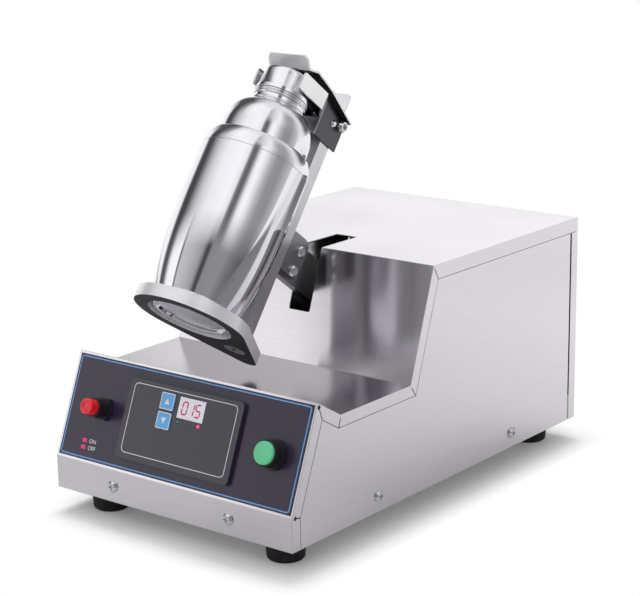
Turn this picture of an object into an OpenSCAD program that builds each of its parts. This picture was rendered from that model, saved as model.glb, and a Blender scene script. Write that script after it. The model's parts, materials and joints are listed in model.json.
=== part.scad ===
// Countertop shaking machine: a sheet-steel cabinet with a sloped control panel and a rocking
// cradle that holds a cobbler shaker by its foot and its cap. Millimetres, +Z up, front at -Y.

/* [Cabinet] */
// Width of the cabinet
cab_w = 240; // [232:1:280]
// Depth of the cabinet
cab_d = 394; // [388:1:440]
// Height of the top above the cabinet's bottom edge
cab_h = 179; // [174:1:190]
// Height of the upright front lip
lip_h = 26.5; // [24:0.5:30]
// Distance from the front to the ridge over the control panel
ridge_y = 32; // [28:1:36]
// Height of the ridge
ridge_h = 106; // [103:1:110]
// Distance from the front to the near edge of the tray
tray_y = 59; // [54:1:64]
// Height of the tray
tray_h = 90; // [86:1:92]
// Distance from the front to the foot of the riser
riser_y = 147; // [142:1:150]
// Distance from the front to the near edge of the top
top_y = 178; // [172:1:182]
// Thickness of the sheet steel
sheet_t = 1.2; // [0.8:0.1:1.6]
// Width of the cover's flange along each side
flange_w = 9.5; // [8:0.5:11]
// Width of the cover's flange under the top
top_flange_w = 11.7; // [9:0.1:14]
// Width of the rear cover's side flange
rear_flange_w = 9.5; // [8:0.5:12]
// Width of the open slit in front of the rear flange
rear_slit = 2.3; // [1.5:0.1:3]
// Gap along a seam between two sheets
seam_gap = 0.4; // [0.3:0.1:0.7]
// Width of the slit at each mitred flange corner
mitre_w = 0.8; // [0.5:0.1:1.2]
// Radius of the relief hole at a bend
relief_r = 1.6; // [1:0.1:2.2]
// Thickness of the base pan
pan_t = 1.5; // [1.2:0.1:2]
// Height of the lip over the base pan's edge
pan_drop = 4.5; // [4:0.5:8]
// Depth of the lip that takes the rear cover's upper screws
rear_lip_h = 16; // [14:1:20]

/* [Feet and screws] */
// Height of a foot
foot_h = 19; // [16:0.5:24]
// Radius of a foot at its top
foot_top_r = 16; // [15:0.5:18]
// Radius of a foot at its base
foot_base_r = 14.5; // [13:0.5:15]
// Distance from the side to a foot's middle
foot_in_x = 30; // [26:1:36]
// Distance from the front to a front foot's middle
foot_in_front = 29; // [26:1:36]
// Distance from the back to a rear foot's middle
foot_in_back = 26; // [22:1:34]
// Radius of a foot screw's shank
foot_screw_r = 2.5; // [2:0.25:3]
// Radius of a cover screw's shank
screw_r = 2; // [1.5:0.25:2.5]
// Radius of a cover screw's head
screw_head_r = 4.7; // [4:0.1:5]
// Height of a cover screw's head
screw_head_h = 2.4; // [2:0.1:3]
// Height of the lower screws above the bottom edge
screw_z = 12.8; // [10:0.1:14]
// Distance from the side to a front screw
front_screw_in = 61; // [40:1:80]
// Distance from the front to the near side screw
side_screw_near = 105; // [90:1:120]
// Distance from the front to the far side screw
side_screw_far = 292; // [270:1:310]
// Distance from the side to a rear screw
rear_screw_in = 24; // [20:1:40]
// Radial clearance of a screw in its hole
screw_fit = 0.1; // [0.05:0.05:0.3]

/* [Control panel] */
// Thickness of the printed overlay
overlay_t = 0.5; // [0.3:0.1:0.8]
// Bare margin round the overlay
overlay_margin = 2; // [1:0.5:4]
// Width of the timer frame
timer_w = 115; // [112:1:124]
// Height of the timer frame
timer_h = 63; // [62:1:66]
// Thickness of the timer frame
timer_t = 3; // [2.5:0.5:4]
// Corner radius of the timer frame
timer_corner = 4; // [2:0.5:6]
// Distance of the timer's middle up the slope
timer_v = 42.5; // [41:0.5:44]
// Width of the timer frame's rim at each side of its housing
rim_w = 5.5; // [4:0.5:8]
// Height of the timer frame's rim over and under its housing
rim_h = 3; // [2:0.5:3.5]
// Depth of the timer's housing behind the panel
housing_depth = 14; // [12:1:18]
// Wall of the timer's housing
housing_wall = 1.5; // [1.2:0.1:2]
// Depth of the control board's face behind the panel
board_depth = 9; // [8:0.5:10]
// Thickness of the control board
board_t = 1.6; // [1:0.2:2]
// Width of an up or down key
key_w = 13.4; // [12:0.2:14]
// Height of an up or down key
key_h = 13; // [12:0.2:13.2]
// Sideways place of the two keys
key_u = -15.8; // [-18:0.2:-15]
// Distance from the timer's upper edge to the up key
key_margin = 5.7; // [5.5:0.1:7]
// Space between the two keys
key_space = 2; // [1.5:0.1:3]
// How far a key stands proud of the timer frame
key_rise = 1; // [0.8:0.1:1.5]
// Travel of a key
key_travel = 0.5; // [0.3:0.1:0.7]
// Side clearance of a key, lamp or window in the frame
key_gap = 0.3; // [0.2:0.05:0.4]
// Width of the display window
display_w = 26; // [22:0.5:28]
// Height of the display window
display_h = 16.5; // [14:0.5:17]
// Space between the keys and the display window
display_space = 4.1; // [2:0.1:6]
// Distance from the timer's upper edge to the display window
display_margin = 6.25; // [5.5:0.25:8]
// How far the display window lies below the frame's face
display_sunk = 0.4; // [0.2:0.1:0.8]
// Radius of an indicator lamp
led_r = 1.5; // [1:0.1:1.8]
// Distance from the display window down to the lamps
led_drop = 2.75; // [2.5:0.05:4]
// Distance from the display's left edge to the green lamp
green_led_in = 2.7; // [2:0.1:5]
// Distance from the display's right edge to the red lamp
red_led_in = 3; // [2:0.1:5]
// How far a lamp stands proud of the frame
led_rise = 0.5; // [0.2:0.1:1]

/* [Push buttons] */
// Distance from the panel's left end to the power button
power_in = 39; // [34:1:42]
// Distance of the power button up the slope
power_v = 44; // [38:1:50]
// Radius of the power button's cap
power_cap_r = 6.2; // [5:0.1:7]
// Height of the power button's cap over the panel
power_cap_h = 22; // [18:0.5:22.5]
// Height of the power button's collar
power_collar_h = 14; // [12:0.5:15]
// Reach of the power button's hexagon past its collar
hex_rim = 2.3; // [2:0.1:3]
// Distance from the panel's right end to the start button
start_in = 28; // [24:1:36]
// Distance of the start button up the slope
start_v = 42; // [36:1:48]
// Radius of the start button's cap
start_cap_r = 8.8; // [7:0.1:9.2]
// Height of the start button's cap over the panel
start_cap_h = 14.5; // [13.5:0.5:18]
// Height of the start button's collar
start_collar_h = 12; // [10:0.5:13]
// Reach of the start button's base flange past its collar
base_rim = 1.4; // [1:0.1:2.5]
// Radius of a button's stem
stem_r = 4; // [3:0.25:4.5]
// Wall of a button's barrel
barrel_wall = 1.4; // [1:0.1:2]
// Depth of a button's barrel behind the panel
barrel_depth = 12; // [10:0.5:16]
// Wall of a button's collar
collar_wall = 1.1; // [0.8:0.1:1.5]
// Thickness of a collar's base
collar_base_t = 3; // [2:0.5:4]
// Travel of a push button
button_travel = 3; // [2:0.1:3]
// Side clearance of a push button in its collar
button_gap = 0.3; // [0.2:0.05:0.4]
// Depth of a button's switch
switch_depth = 18; // [14:1:24]

/* [Power inlet and vents] */
// Sideways place of the power inlet
inlet_x = 66; // [56:1:72]
// Height of the power inlet's middle
inlet_z = 52; // [46:1:60]
// Width of the power inlet's socket body
inlet_w = 28; // [27:0.5:30]
// Height of the power inlet's socket body
inlet_h = 20.5; // [20:0.5:22]
// Depth of the power inlet's socket body
inlet_depth = 22; // [20:1:26]
// Wall of the power inlet's socket
inlet_wall = 1.6; // [1.2:0.1:2]
// Thickness of the power inlet's flange
inlet_flange_t = 2.5; // [2:0.1:3]
// Distance between the power inlet's screws
inlet_screw_span = 40; // [38:1:44]
// Radius of the power inlet's screws
inlet_screw_r = 1.5; // [1.25:0.25:1.75]
// Height of the power inlet's screw heads
inlet_head_h = 1.8; // [1.5:0.1:2.2]
// Length of a vent slot
vent_l = 46; // [30:1:50]
// Width of a vent slot
vent_w = 4; // [3:0.5:5]
// Distance from one vent slot to the next
vent_step = 9; // [8:0.5:10]
// Slots in each column of vents
vent_count = 6; // [3:1:6]
// Distance from the middle to a column of vents
vent_x = 45; // [30:1:50]
// Height of the lowest vent slot
vent_z = 92; // [88:1:100]

/* [Swing drive] */
// Lean of the shaker at rest, back from upright
lean = 36.5; // [34:0.5:38]
// Swing of the cradle, up and back
swing_deg = 30; // [24:1:32]
// Distance from the shaker's axis back to the main shaft
arm_reach = 180; // [176:1:184]
// Height of the main shaft along the shaker's axis
arm_level = 90; // [88:1:92]
// Depth of the swing arm
arm_w = 32; // [28:1:34]
// Thickness of the swing arm
arm_t = 8; // [6:0.5:9]
// Radius of the swing arm's hub
arm_hub_r = 19; // [16:1:20]
// Side length of the swing arm's hub beyond the arm
arm_hub_side = 5; // [3:0.5:8]
// Clearance of the arm and its lug at each side of the slot
slot_side = 3.5; // [3:0.25:6]
// Corner radius of the slot's lower end
slot_corner = 1.5; // [1:0.5:4]
// Clearance of the arm at the ends of the slot
slot_gap = 8; // [6:0.5:9]
// Room in the slot below the arm
slot_drop = 13; // [10:0.5:14]
// Radius of the main shaft
shaft_r = 8; // [7:0.5:9]
// Length of the main shaft past each bearing stand
shaft_end = 3; // [2:0.5:6]
// Radial clearance of a running fit
run_gap = 0.05; // [0.03:0.01:0.08]
// Radial clearance of a fixed fit
fix_gap = 0.02; // [0.01:0.01:0.05]
// Outer radius of a bearing
bearing_r = 17.5; // [16:0.5:19]
// Width of a bearing
bearing_w = 12; // [10:1:14]
// Gap between a bearing stand's foot and the cabinet's side
stand_room = 6.8; // [4:0.1:9]
// Thickness of a bearing stand
stand_t = 14; // [12:1:15]
// Wall of a bearing stand round its bearing
stand_wall = 6; // [4:0.5:8]
// Half length of a bearing stand's foot
stand_foot = 34; // [32:1:38]
// Width of a bearing stand's foot
stand_foot_w = 38; // [36:1:40]
// Thickness of a bearing stand's foot
stand_foot_t = 6; // [5:0.5:8]
// Radius of the drive's bolts
bolt_r = 2.5; // [2:0.25:3]
// Radius of the drive's bolt heads
bolt_head_r = 4.4; // [4:0.1:5]
// Height of the drive's bolt heads
bolt_head_h = 3; // [2.5:0.25:3.5]
// Distance from the main shaft to the rod pin
lever_r = 48; // [44:1:50]
// Thickness of the rocker lever
lever_t = 10; // [8:0.5:10]
// Gap between the left bearing stand and the rocker lever
lever_room = 10; // [6:0.5:11]
// Radius of the rocker lever's hub
lever_hub_r = 17; // [15:0.5:19]
// Radius of the rocker lever's eye
lever_eye_r = 12; // [10:0.5:13]
// Gap between the gearbox and the foot of its bracket
gear_lift = 2.4; // [1:0.1:4]
// Thickness of the connecting rod
rod_t = 8; // [6:0.5:8]
// Radius of the rod's eyes
rod_eye_r = 12.5; // [11:0.5:14]
// Radius of the rod pin and the crank pin
pin_r = 5; // [4:0.25:6]
// Side gap between neighbouring moving layers of the drive
layer_gap = 0.5; // [0.4:0.1:0.8]
// Length of the crank pin in front of its disc
crank_pin_l = 7; // [6:0.5:8]
// Radius of the crank disc
crank_disc_r = 24; // [20:0.5:25]
// Thickness of the crank disc
crank_disc_t = 10; // [8:0.5:10]
// Radius of the output shaft
out_r = 6; // [5:0.5:6.5]
// Gap between the crank disc and the motor bracket
crank_bracket_gap = 4; // [3.5:0.5:6]
// Thickness of the motor bracket
bracket_t = 6; // [4:0.5:6]
// Length of the motor bracket's foot
bracket_foot = 52; // [48:1:60]
// Half width of the square gearbox
gear_half = 38; // [34:0.5:39]
// Length of the gearbox
gear_l = 34; // [30:1:38]
// Gap between the motor and the right bearing stand
motor_room = 14; // [13:0.5:24]
// Distance of the gearbox screws from its corners
gear_screw_in = 8; // [7:0.5:10]
// Radius of the run capacitor
capacitor_r = 17; // [14:0.5:18]
// Length of the run capacitor
capacitor_l = 62; // [50:1:70]
// Distance from the front to the run capacitor's axis
capacitor_y = 118; // [110:1:130]
// Sideways place of the run capacitor's middle
capacitor_x = -46; // [-55:1:-40]
// Thickness of the capacitor clip
clip_t = 3; // [2:0.5:4]
// Width of the capacitor clip
clip_w = 14; // [10:1:20]

/* [Cradle] */
// Place of the shaker's axis at the base plate, back from the cabinet's front
cup_y = 29; // [27:0.5:31]
// Height of the base plate's underside at the shaker's axis over the tray
cup_lift = 59.6; // [59:0.2:66]
// Thickness of the base plate
plate_t = 10; // [8:0.5:11]
// Outer radius of the base plate's ring
ring_r = 45; // [43:0.5:47]
// Clearance of the shaker's foot in the ring's opening
ring_room = 3.3; // [2.5:0.1:4]
// Radius of the tail's end
tail_r = 9; // [8:0.5:12]
// Distance from the spine's back to the middle of the tail's end
tail_past = 18.2; // [15:0.1:19]
// Height of the seat's ledge in the ring
ledge_s = 7; // [5:0.5:7.5]
// Clearance of the shaker in its seat
seat_gap = 0.08; // [0.05:0.01:0.2]
// Width of the spine
spine_w = 25.4; // [22:0.2:26]
// Depth of the spine
spine_d = 12.7; // [11:0.1:13]
// Gap between the shaker and the spine
spine_gap = 4.6; // [4:0.1:6]
// Wall of the spine
spine_wall = 1.6; // [1.2:0.1:2.5]
// Distance from the latch pivot down to the spine's top
pivot_over = 6.5; // [6:0.1:8]
// Height of the solid foot in the spine
spine_foot_h = 16; // [12:1:24]
// Radius of the base screw's shank
base_screw_r = 3.5; // [3:0.25:4]
// Radius of the base screw's countersunk head
base_screw_head_r = 8.5; // [7:0.25:9]
// Sideways place of the base screw
base_screw_x = 6; // [0:0.5:7]
// Thickness of the lug on the spine
lug_t = 6; // [5:0.5:7]
// Distance from the spine to the lug's far edge
lug_l = 31; // [29:0.5:32]
// Reach of the lug below the arm's middle
lug_drop = 12.5; // [12:0.5:15]
// Reach of the lug above the arm's middle
lug_rise = 20; // [18:0.5:22]
// Corner radius of the lug
lug_corner = 8; // [5:0.5:10]
// Distance from the spine to the arm's near end
arm_end = 5; // [3:0.5:8]
// Distance from the spine to the lug screws
lug_screw_b = 22; // [21:0.5:23]
// Distance from the arm's middle to a lug screw
lug_screw_s = 8.5; // [8:0.1:9]
// Radius of a lug screw's shank
lug_screw_r = 3; // [2.5:0.25:3.5]
// Radius of a lug screw's head
lug_head_r = 4.6; // [4.4:0.1:5]
// Height of a lug screw's head
lug_head_h = 3; // [2.5:0.25:3.5]

/* [Fork and latch] */
// Thickness of the fork's sheet
fork_t = 1.5; // [1.2:0.1:1.8]
// Distance from the shaker's axis to the fork's bridge
bridge_b = 35; // [34:0.5:36]
// Distance from the latch pivot down to the fork's lower edge
fork_drop = 20.5; // [18:0.5:22]
// Distance from the cap's lower edge up to the cheeks
cheek_rise = 5.3; // [4.5:0.1:6.5]
// Distance from the cap's top down to the cheeks
cheek_drop = 1; // [0.5:0.1:2]
// Reach of the cheeks past the shaker's axis
cheek_reach = 11.5; // [10:0.5:13]
// Corner radius of the cheeks' front
cheek_corner = 1.5; // [1:0.5:6]
// Distance from the shaker's axis to the cheeks' rear bend
cheek_b = 22; // [20:0.5:24]
// Clearance of the cheeks beside the cap
cheek_gap = 0.6; // [0.5:0.1:1.5]
// Distance from the spine's back to the latch pivot
pivot_past = 1.2; // [0.8:0.1:2]
// Distance from the cap's top down to the latch pivot
pivot_drop = 13.5; // [13:0.1:14]
// Radius of the latch pivot's shank
pivot_r = 2.5; // [2:0.25:2.75]
// Radius of the latch pivot's head
pivot_head_r = 4.9; // [4:0.1:5]
// Height of the latch pivot's head
pivot_head_h = 5; // [3:0.5:6]
// Radius of the fork's rounded corner about the latch pivot
fork_corner = 5.2; // [5:0.1:5.6]
// Thickness of the latch strap
strap_t = 1.5; // [1.2:0.1:1.8]
// Width of the latch strap
strap_w = 40; // [36:1:44]
// Rise of the latch strap towards the front
strap_slope = 15.3; // [14:0.1:16]
// Clearance of the latch strap over the fork
strap_gap = 0.4; // [0.3:0.1:0.6]
// Length of the strap behind the pivot
strap_tail = 3.5; // [3:0.5:4]
// Length of the strap's straight run in front of the pivot
strap_run = 34; // [32:0.5:36]
// Distance from the shaker's axis to the strap's crest
crest_b = 7; // [6:0.5:9]
// Height of the strap's crest over the cap
crest_rise = 4.9; // [4:0.1:6]
// Reach of the strap's lowest point past the shaker's axis
root_reach = 3.7; // [3:0.1:5]
// Clearance of the strap's pad over the cap
cap_gap = 0.5; // [0.4:0.1:0.8]
// Thickness of the strap's pad
pad_t = 4; // [3:0.5:5]
// Width of the strap's pad
pad_w = 16; // [12:1:28]
// Length of the strap's pad
pad_l = 9.5; // [8:0.5:10]
// Reach of the front lip past the strap's lowest point
lip_reach = 9.3; // [7:0.1:11]
// Rise of the front lip
lip_rise = 7.2; // [5:0.1:9]
// Corner radius of the front lip
lip_corner = 7; // [4:0.5:9]
// Width of the thumb tab
tab_w = 18; // [17.6:0.2:22]
// Height of the thumb tab
tab_h = 27; // [24:0.5:29]
// Corner radius of the thumb tab
tab_corner = 4; // [2:0.5:6]
// Side gap of the latch's ears inside the fork
ear_gap = 0.35; // [0.3:0.05:0.5]
// Radius of the spring wire
wire_r = 0.6; // [0.5:0.05:0.7]
// Radius of the spring's turns
coil_r = 4.2; // [4:0.05:4.3]
// Length of the spring's turns along the pivot
coil_l = 16; // [14:0.5:16.5]
// Gap between the spring's legs and the pieces beside them
wire_gap = 0.4; // [0.3:0.05:0.5]
// Whole turns of the spring
coil_turns = 5; // [3:1:6]
// Radius of the spring's stop pin
stop_pin_r = 2; // [1.5:0.1:2.2]
// Distance from the spine's front to the stop pin
stop_pin_in = 4.9; // [4:0.1:6]

/* [Shaker] */
// Radius of the shaker's foot
foot_r = 30.4; // [29:0.1:31]
// Radius of the shaker at its rim
belly_r = 43.5; // [42:0.1:44.5]
// Height of the shaker's foot over the base plate's underside
foot_s = 2; // [1.5:0.5:3]
// Height of the shaker's rim along its axis
rim_s = 132.8; // [130:0.2:135]
// How quickly the shaker swells above its foot
belly_power = 3.5; // [3:0.1:4]
// Wall of the shaker
shaker_wall = 0.9; // [0.7:0.1:1.2]
// Rise of the shaker's bottom over its foot
bottom_rise = 3; // [2:0.5:4]
// Depth of the lid's skirt inside the body
skirt_h = 11; // [8:0.5:14]
// Clearance between the shaker's pieces
shaker_gap = 0.2; // [0.15:0.05:0.3]
// Height of the lid's belt
belt_h = 13.2; // [11:0.2:15]
// Taper of the lid's belt
belt_taper = 3.5; // [2.5:0.1:4]
// Reach of the lid's belt past the dome
belt_over = 7.5; // [6.5:0.1:8.5]
// Height of the step from the belt to the dome
belt_step = 2.4; // [1.5:0.1:3]
// Height of the dome's full ellipse
dome_h = 41.5; // [40:0.5:43]
// Width of the flat step from the dome to the neck
dome_ledge = 2.6; // [2:0.1:3.2]
// Radius of the lid's neck
neck_r = 20.8; // [20:0.1:21.5]
// Height of a bead on the neck
bead_r = 0.8; // [0.5:0.1:1]
// Beads on the neck
bead_count = 2; // [2:1:3]
// Height of the lid's neck below the cap
neck_h = 10.7; // [9.5:0.1:12]
// Reach of the cap's lower edge past the neck
cap_over = 1.1; // [0.9:0.1:1.5]
// Taper of the cap's side
cap_taper = 1.6; // [1.2:0.1:2]
// Height of the cap
cap_h = 20.3; // [19.5:0.1:21.5]
// Edge radius of the cap's top
cap_edge = 4; // [3:0.5:5]
// Height of the strainer in the cap
strainer_h = 12; // [9:0.5:13]
// Radius of a strainer hole
strainer_hole_r = 2.2; // [1.5:0.1:2.5]

/* [Hidden] */
$fn = 72;

// Overshoot of a cutting solid past the face that it cuts
over = 1;
// Length of a screw past the last sheet that it holds
screw_past = 4.5;
// Depth of the gearbox screws' thread
gear_thread = 10;
// Steps of a curved outline
steps = 16;

// Outline of the cabinet, front to back, and its pieces
slope_top = [ridge_y, ridge_h];
slope_foot = [0, lip_h];
riser_foot = [riser_y, tray_h];
riser_top = [top_y, cab_h];
profile = [[0, 0], [cab_d, 0], [cab_d, cab_h], riser_top, riser_foot, [tray_y, tray_h], slope_top,
    slope_foot];
slope_l = norm(slope_top - slope_foot);
tilt = atan2(ridge_y, ridge_h - lip_h);
side_x = cab_w / 2;
inner_x = side_x - sheet_t;
front_screw_x = side_x - front_screw_in;
rear_screw_x = side_x - rear_screw_in;
power_u = power_in - side_x;
start_u = side_x - start_in;
pan_flange_h = lip_h - pan_drop;
flange_line = inset(profile, [-over, -over, top_flange_w, flange_w, flange_w, flange_w, flange_w,
    flange_w]);

// Main shaft, rod pin and crank axis, as seen from the side
cup_z = tray_h + cup_lift;
up_axis = [sin(lean), cos(lean)];
pivot = [cup_y, cup_z] + arm_level * up_axis + arm_reach * [cos(lean), -sin(lean)];
half_swing = swing_deg / 2;
rod_top = pivot + lever_r * [cos(half_swing), sin(half_swing)];
crank_r = lever_r * sin(half_swing);
crank = [rod_top[0], pan_t + bracket_t + gear_lift + gear_half];
rod_len = rod_top[1] - crank[1] - crank_r;
stand_x = inner_x - stand_room - stand_foot_w / 2;
shaft_l = 2 * stand_x + stand_t + 2 * shaft_end;
lever_x = stand_x - stand_t / 2 - lever_room;
rod_x = lever_x - lever_t - layer_gap - rod_t;
disc_x = rod_x - layer_gap - crank_pin_l;
bracket_x = disc_x - crank_disc_t - crank_bracket_gap;
gear_x = bracket_x - bracket_t;
motor_l = stand_x - stand_t / 2 - motor_room + gear_x - gear_l;
slot_w = arm_t + lug_t + 2 * slot_side;

// Ends of the slot that the arm swings in
riser_dir = unit(riser_top - riser_foot);
arm_low = pivot - arm_w / 2 * up_axis;
arm_dir = [-cos(lean), sin(lean)];
slot_low = cross2(arm_low - riser_foot, arm_dir) / cross2(riser_dir, arm_dir) - slot_drop;
raised = lean + swing_deg;
arm_high = pivot + arm_w / 2 * [sin(raised), cos(raised)];
slot_back = arm_high[0] - (cab_h - arm_high[1]) / tan(raised) + slot_gap;

// Levels of the control panel's pieces over the panel
frame_face = overlay_t + timer_t;
board_face = -board_depth;
switch_h = 4.5;
end_gap = 0.2;
pad_fit = 0.05;
pad_front = 1;
power_collar_r = power_cap_r + button_gap + collar_wall;
power_hex_r = power_collar_r + hex_rim;
start_collar_r = start_cap_r + button_gap + collar_wall;
start_base_r = start_collar_r + base_rim;
key_foot = board_face + switch_h + key_travel + end_gap;
key_cap_t = 3;
collar_seat = 1;
cap_foot = collar_seat + button_travel + end_gap;
stem_foot = -barrel_depth + button_travel + end_gap;
barrel_r = stem_r + button_gap + barrel_wall;
nut_t = 4;
housing_w = timer_w - 2 * rim_w;
housing_h = timer_h - 2 * rim_h;
up_key_v = timer_h / 2 - key_margin - key_h / 2;
down_key_v = up_key_v - key_h - key_space;
display_u = key_u + key_w / 2 + display_space + display_w / 2;
display_v = timer_h / 2 - display_margin - display_h / 2;
led_v = display_v - display_h / 2 - led_drop;
green_led_u = display_u - display_w / 2 + green_led_in;
red_led_u = display_u + display_w / 2 - red_led_in;

// Cradle, along the shaker's axis (s) and behind it (b)
ring_hole_r = foot_r + ring_room;
spine_b = belly_r + spine_gap;
spine_back = spine_b + spine_d;
tail_b = spine_back + tail_past;
lug_low = arm_level - lug_drop;
lug_high = arm_level + lug_rise;
pivot_b = spine_back + pivot_past;
stop_pin_b = spine_b + stop_pin_in;
arm_x = -(arm_t + lug_t) / 2;
lug_x = arm_x + arm_t;
ear_x = spine_w / 2;
dome_r = belly_r - belt_over;
dome_end_r = neck_r + dome_ledge;
neck_s = rim_s + belt_h + belt_step + dome_h * sqrt(1 - pow(dome_end_r / dome_r, 2));
cap_s = neck_s + neck_h;
cap_r = neck_r + cap_over;
cap_top = cap_s + cap_h;
pad_top = cap_top + pad_t;
pivot_s = pad_top - pivot_drop;
spine_top = pivot_s - pivot_over;
fork_low = pivot_s - fork_drop;
cheek_low = cap_s + cheek_rise;
cheek_high = cap_top - cheek_drop;
cheek_x = cap_r + cheek_gap;
strap_off = fork_corner + strap_gap + strap_t / 2;
strap_n = [sin(strap_slope), cos(strap_slope)];
strap_f = [-cos(strap_slope), sin(strap_slope)];
latch_axis = [pivot_b, pivot_s];
strap_mid = latch_axis + strap_off * strap_n;
strap_end = strap_mid - strap_tail * strap_f;
strap_root = [-root_reach, pad_top + cap_gap + strap_t / 2];
strap_crest = [crest_b, pad_top + crest_rise];
strap_path = [strap_end, strap_mid + strap_run * strap_f, strap_crest, strap_root,
    strap_root + [-lip_reach, lip_rise]];
strap_ear_x = ear_x - ear_gap - strap_t;
leg_s = spine_top + wire_gap + wire_r;
stop_pin_s = leg_s + wire_r + wire_gap + stop_pin_r;

// Shaker
bead_step = neck_h / bead_count;
belt_top_r = belly_r - belt_taper;
cap_top_r = cap_r - cap_taper;
spigot_r = cap_top_r - shaker_wall - shaker_gap;

// Overall depth, and the middle of it
front_y = cup_y - ring_r * cos(lean);
back_y = cab_d + inlet_flange_t + inlet_head_h;
mid_y = (front_y + back_y) / 2;

function unit(v) = v / norm(v);
function cross2(a, b) = a[0] * b[1] - a[1] * b[0];
function inward(a, b) = let (d = unit(b - a)) [-d[1], d[0]];
function meet(n1, c1, n2, c2) =
    let (k = cross2(n1, n2))
    [(c1 * n2[1] - c2 * n1[1]) / k, (n1[0] * c2 - n2[0] * c1) / k];
function inset(pts, ts) = [
    for (i = [0:len(pts) - 1])
        let (j = (i + len(pts) - 1) % len(pts))
        let (n1 = inward(pts[j], pts[i]), n2 = inward(pts[i], pts[(i + 1) % len(pts)]))
        meet(n1, n1 * pts[i] + ts[j], n2, n2 * pts[i] + ts[i])
];
function beside(path, d) = [
    for (i = [0:len(path) - 1])
        let (a = inward(path[max(i - 1, 0)], path[max(i, 1)]))
        let (b = inward(path[min(i, len(path) - 2)], path[min(i + 1, len(path) - 1)]))
        path[i] + d * (a + b) / (1 + a * b)
];
function backwards(pts) = [for (i = [len(pts) - 1:-1:0]) pts[i]];
function stroke(path, t) = concat(beside(path, t / 2), backwards(beside(path, -t / 2)));
function belly(s) =
    let (k = (s - foot_s) / (rim_s - foot_s))
    foot_r + (belly_r - foot_r) * (1 - pow(1 - k, belly_power));
function arc(c, r, a0, a1) = [for (i = [0:steps / 2]) c + r * [cos(a0 + (a1 - a0) * i / (steps / 2)),
    sin(a0 + (a1 - a0) * i / (steps / 2))]];

// Frames of the cabinet, the control panel and the cradle
module in_cabinet() {
    translate([0, -mid_y, foot_h]) children();
}
module panel_frame() {
    translate([0, 0, lip_h]) rotate([90 - tilt, 0, 0]) children();
}
module on_panel() {
    in_cabinet() panel_frame() children();
}
module in_cradle() {
    in_cabinet() translate([0, cup_y, cup_z]) rotate([-lean, 0, 0]) children();
}

// Shapes that repeat
module across(x0, x1) {
    translate([x0, 0, 0]) rotate([90, 0, 90]) linear_extrude(x1 - x0) children();
}
module prism(pts, x0, x1) {
    across(x0, x1) polygon(pts);
}
module rod_across(p, r, x0, x1) {
    translate([x0, p[0], p[1]]) rotate([0, 90, 0]) cylinder(r = r, h = x1 - x0);
}
module block(low, high) {
    translate(low) cube(high - low);
}
module tapered_link(r1, r2, d) {
    a = asin((r1 - r2) / d);
    circle(r1);
    translate([0, d]) circle(r2);
    polygon([r1 * [cos(a), sin(a)], [0, d] + r2 * [cos(a), sin(a)], [0, d] + r2 * [-cos(a), sin(a)],
        r1 * [-cos(a), sin(a)]]);
}
module round_rect(w, h, r) {
    square([w - 2 * r, h], center = true);
    square([w, h - 2 * r], center = true);
    for (x = [-1, 1], y = [-1, 1]) translate([x * (w / 2 - r), y * (h / 2 - r)]) circle(r);
}
module pan_screw(l) {
    difference() {
        union() {
            cylinder(r = screw_head_r, h = screw_head_h * 0.5);
            translate([0, 0, screw_head_h * 0.5])
                cylinder(r1 = screw_head_r, r2 = screw_head_r * 0.72, h = screw_head_h * 0.5);
            translate([0, 0, -l]) cylinder(r = screw_r, h = l);
        }
        for (a = [0, 90]) rotate(a) translate([0, 0, screw_head_h])
            cube([screw_head_r * 1.1, screw_head_r * 0.26, screw_head_h * 1.2], center = true);
    }
}
module socket_bolt(r, head_r, head_h, l) {
    difference() {
        union() {
            cylinder(r = head_r, h = head_h * 0.55);
            translate([0, 0, head_h * 0.55]) cylinder(r1 = head_r, r2 = head_r * 0.78, h = head_h * 0.45);
            translate([0, 0, -l]) cylinder(r = r, h = l);
        }
        translate([0, 0, head_h * 0.4]) cylinder(r = head_r * 0.6, h = head_h, $fn = 6);
    }
}
module hex_nut(r, bore, h) {
    difference() {
        cylinder(r = r, h = h, $fn = 6);
        translate([0, 0, -over]) cylinder(r = bore, h = h + 2 * over);
    }
}

// Places of the screws
module at_front_screws() {
    for (x = [-1, 1]) translate([x * front_screw_x, 0, screw_z]) rotate([90, 0, 0]) children();
}
module at_side_screws() {
    for (x = [-1, 1], y = [side_screw_near, side_screw_far])
        translate([x * side_x, y, screw_z]) rotate([0, x * 90, 0]) children();
}
module at_rear_screws() {
    for (x = [-1, 1], z = [screw_z, cab_h - sheet_t - rear_lip_h / 2])
        translate([x * rear_screw_x, cab_d, z]) rotate([-90, 0, 0]) children();
}
module at_feet() {
    for (x = [-1, 1], y = [foot_in_front, cab_d - foot_in_back])
        translate([x * (side_x - foot_in_x), y, 0]) children();
}
module screw_hole() {
    deep = 4 * sheet_t + 2 * over;
    translate([0, 0, -deep]) cylinder(r = screw_r + screw_fit, h = deep + 2 * over);
}
module bolt_hole(deep) {
    translate([0, 0, -deep - over]) cylinder(r = bolt_r + screw_fit, h = deep + 2 * over);
}
module at_stand_bolts() {
    edge = bolt_head_r + over;
    for (side = [-1, 1], x = [-1, 1], y = [-1, 1])
        translate([side * stand_x + x * (stand_foot_w / 2 - edge), pivot[0] + y * (stand_foot - edge),
            pan_t + stand_foot_t]) children();
}
module at_bracket_bolts() {
    for (y = [-1, 1])
        translate([-gear_x + bracket_foot - 2 * bolt_head_r, crank[0] + y * (gear_half - gear_screw_in),
            pan_t + bracket_t]) children();
}
module at_gear_screws() {
    d = gear_half - gear_screw_in;
    for (y = [-1, 1], z = [-1, 1])
        translate([-bracket_x, crank[0] + y * d, crank[1] + z * d]) rotate([0, -90, 0]) children();
}
module at_inlet_screws() {
    for (x = [-1, 1])
        translate([inlet_x + x * inlet_screw_span / 2, cab_d + inlet_flange_t, inlet_z])
            rotate([-90, 0, 0]) children();
}

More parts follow.
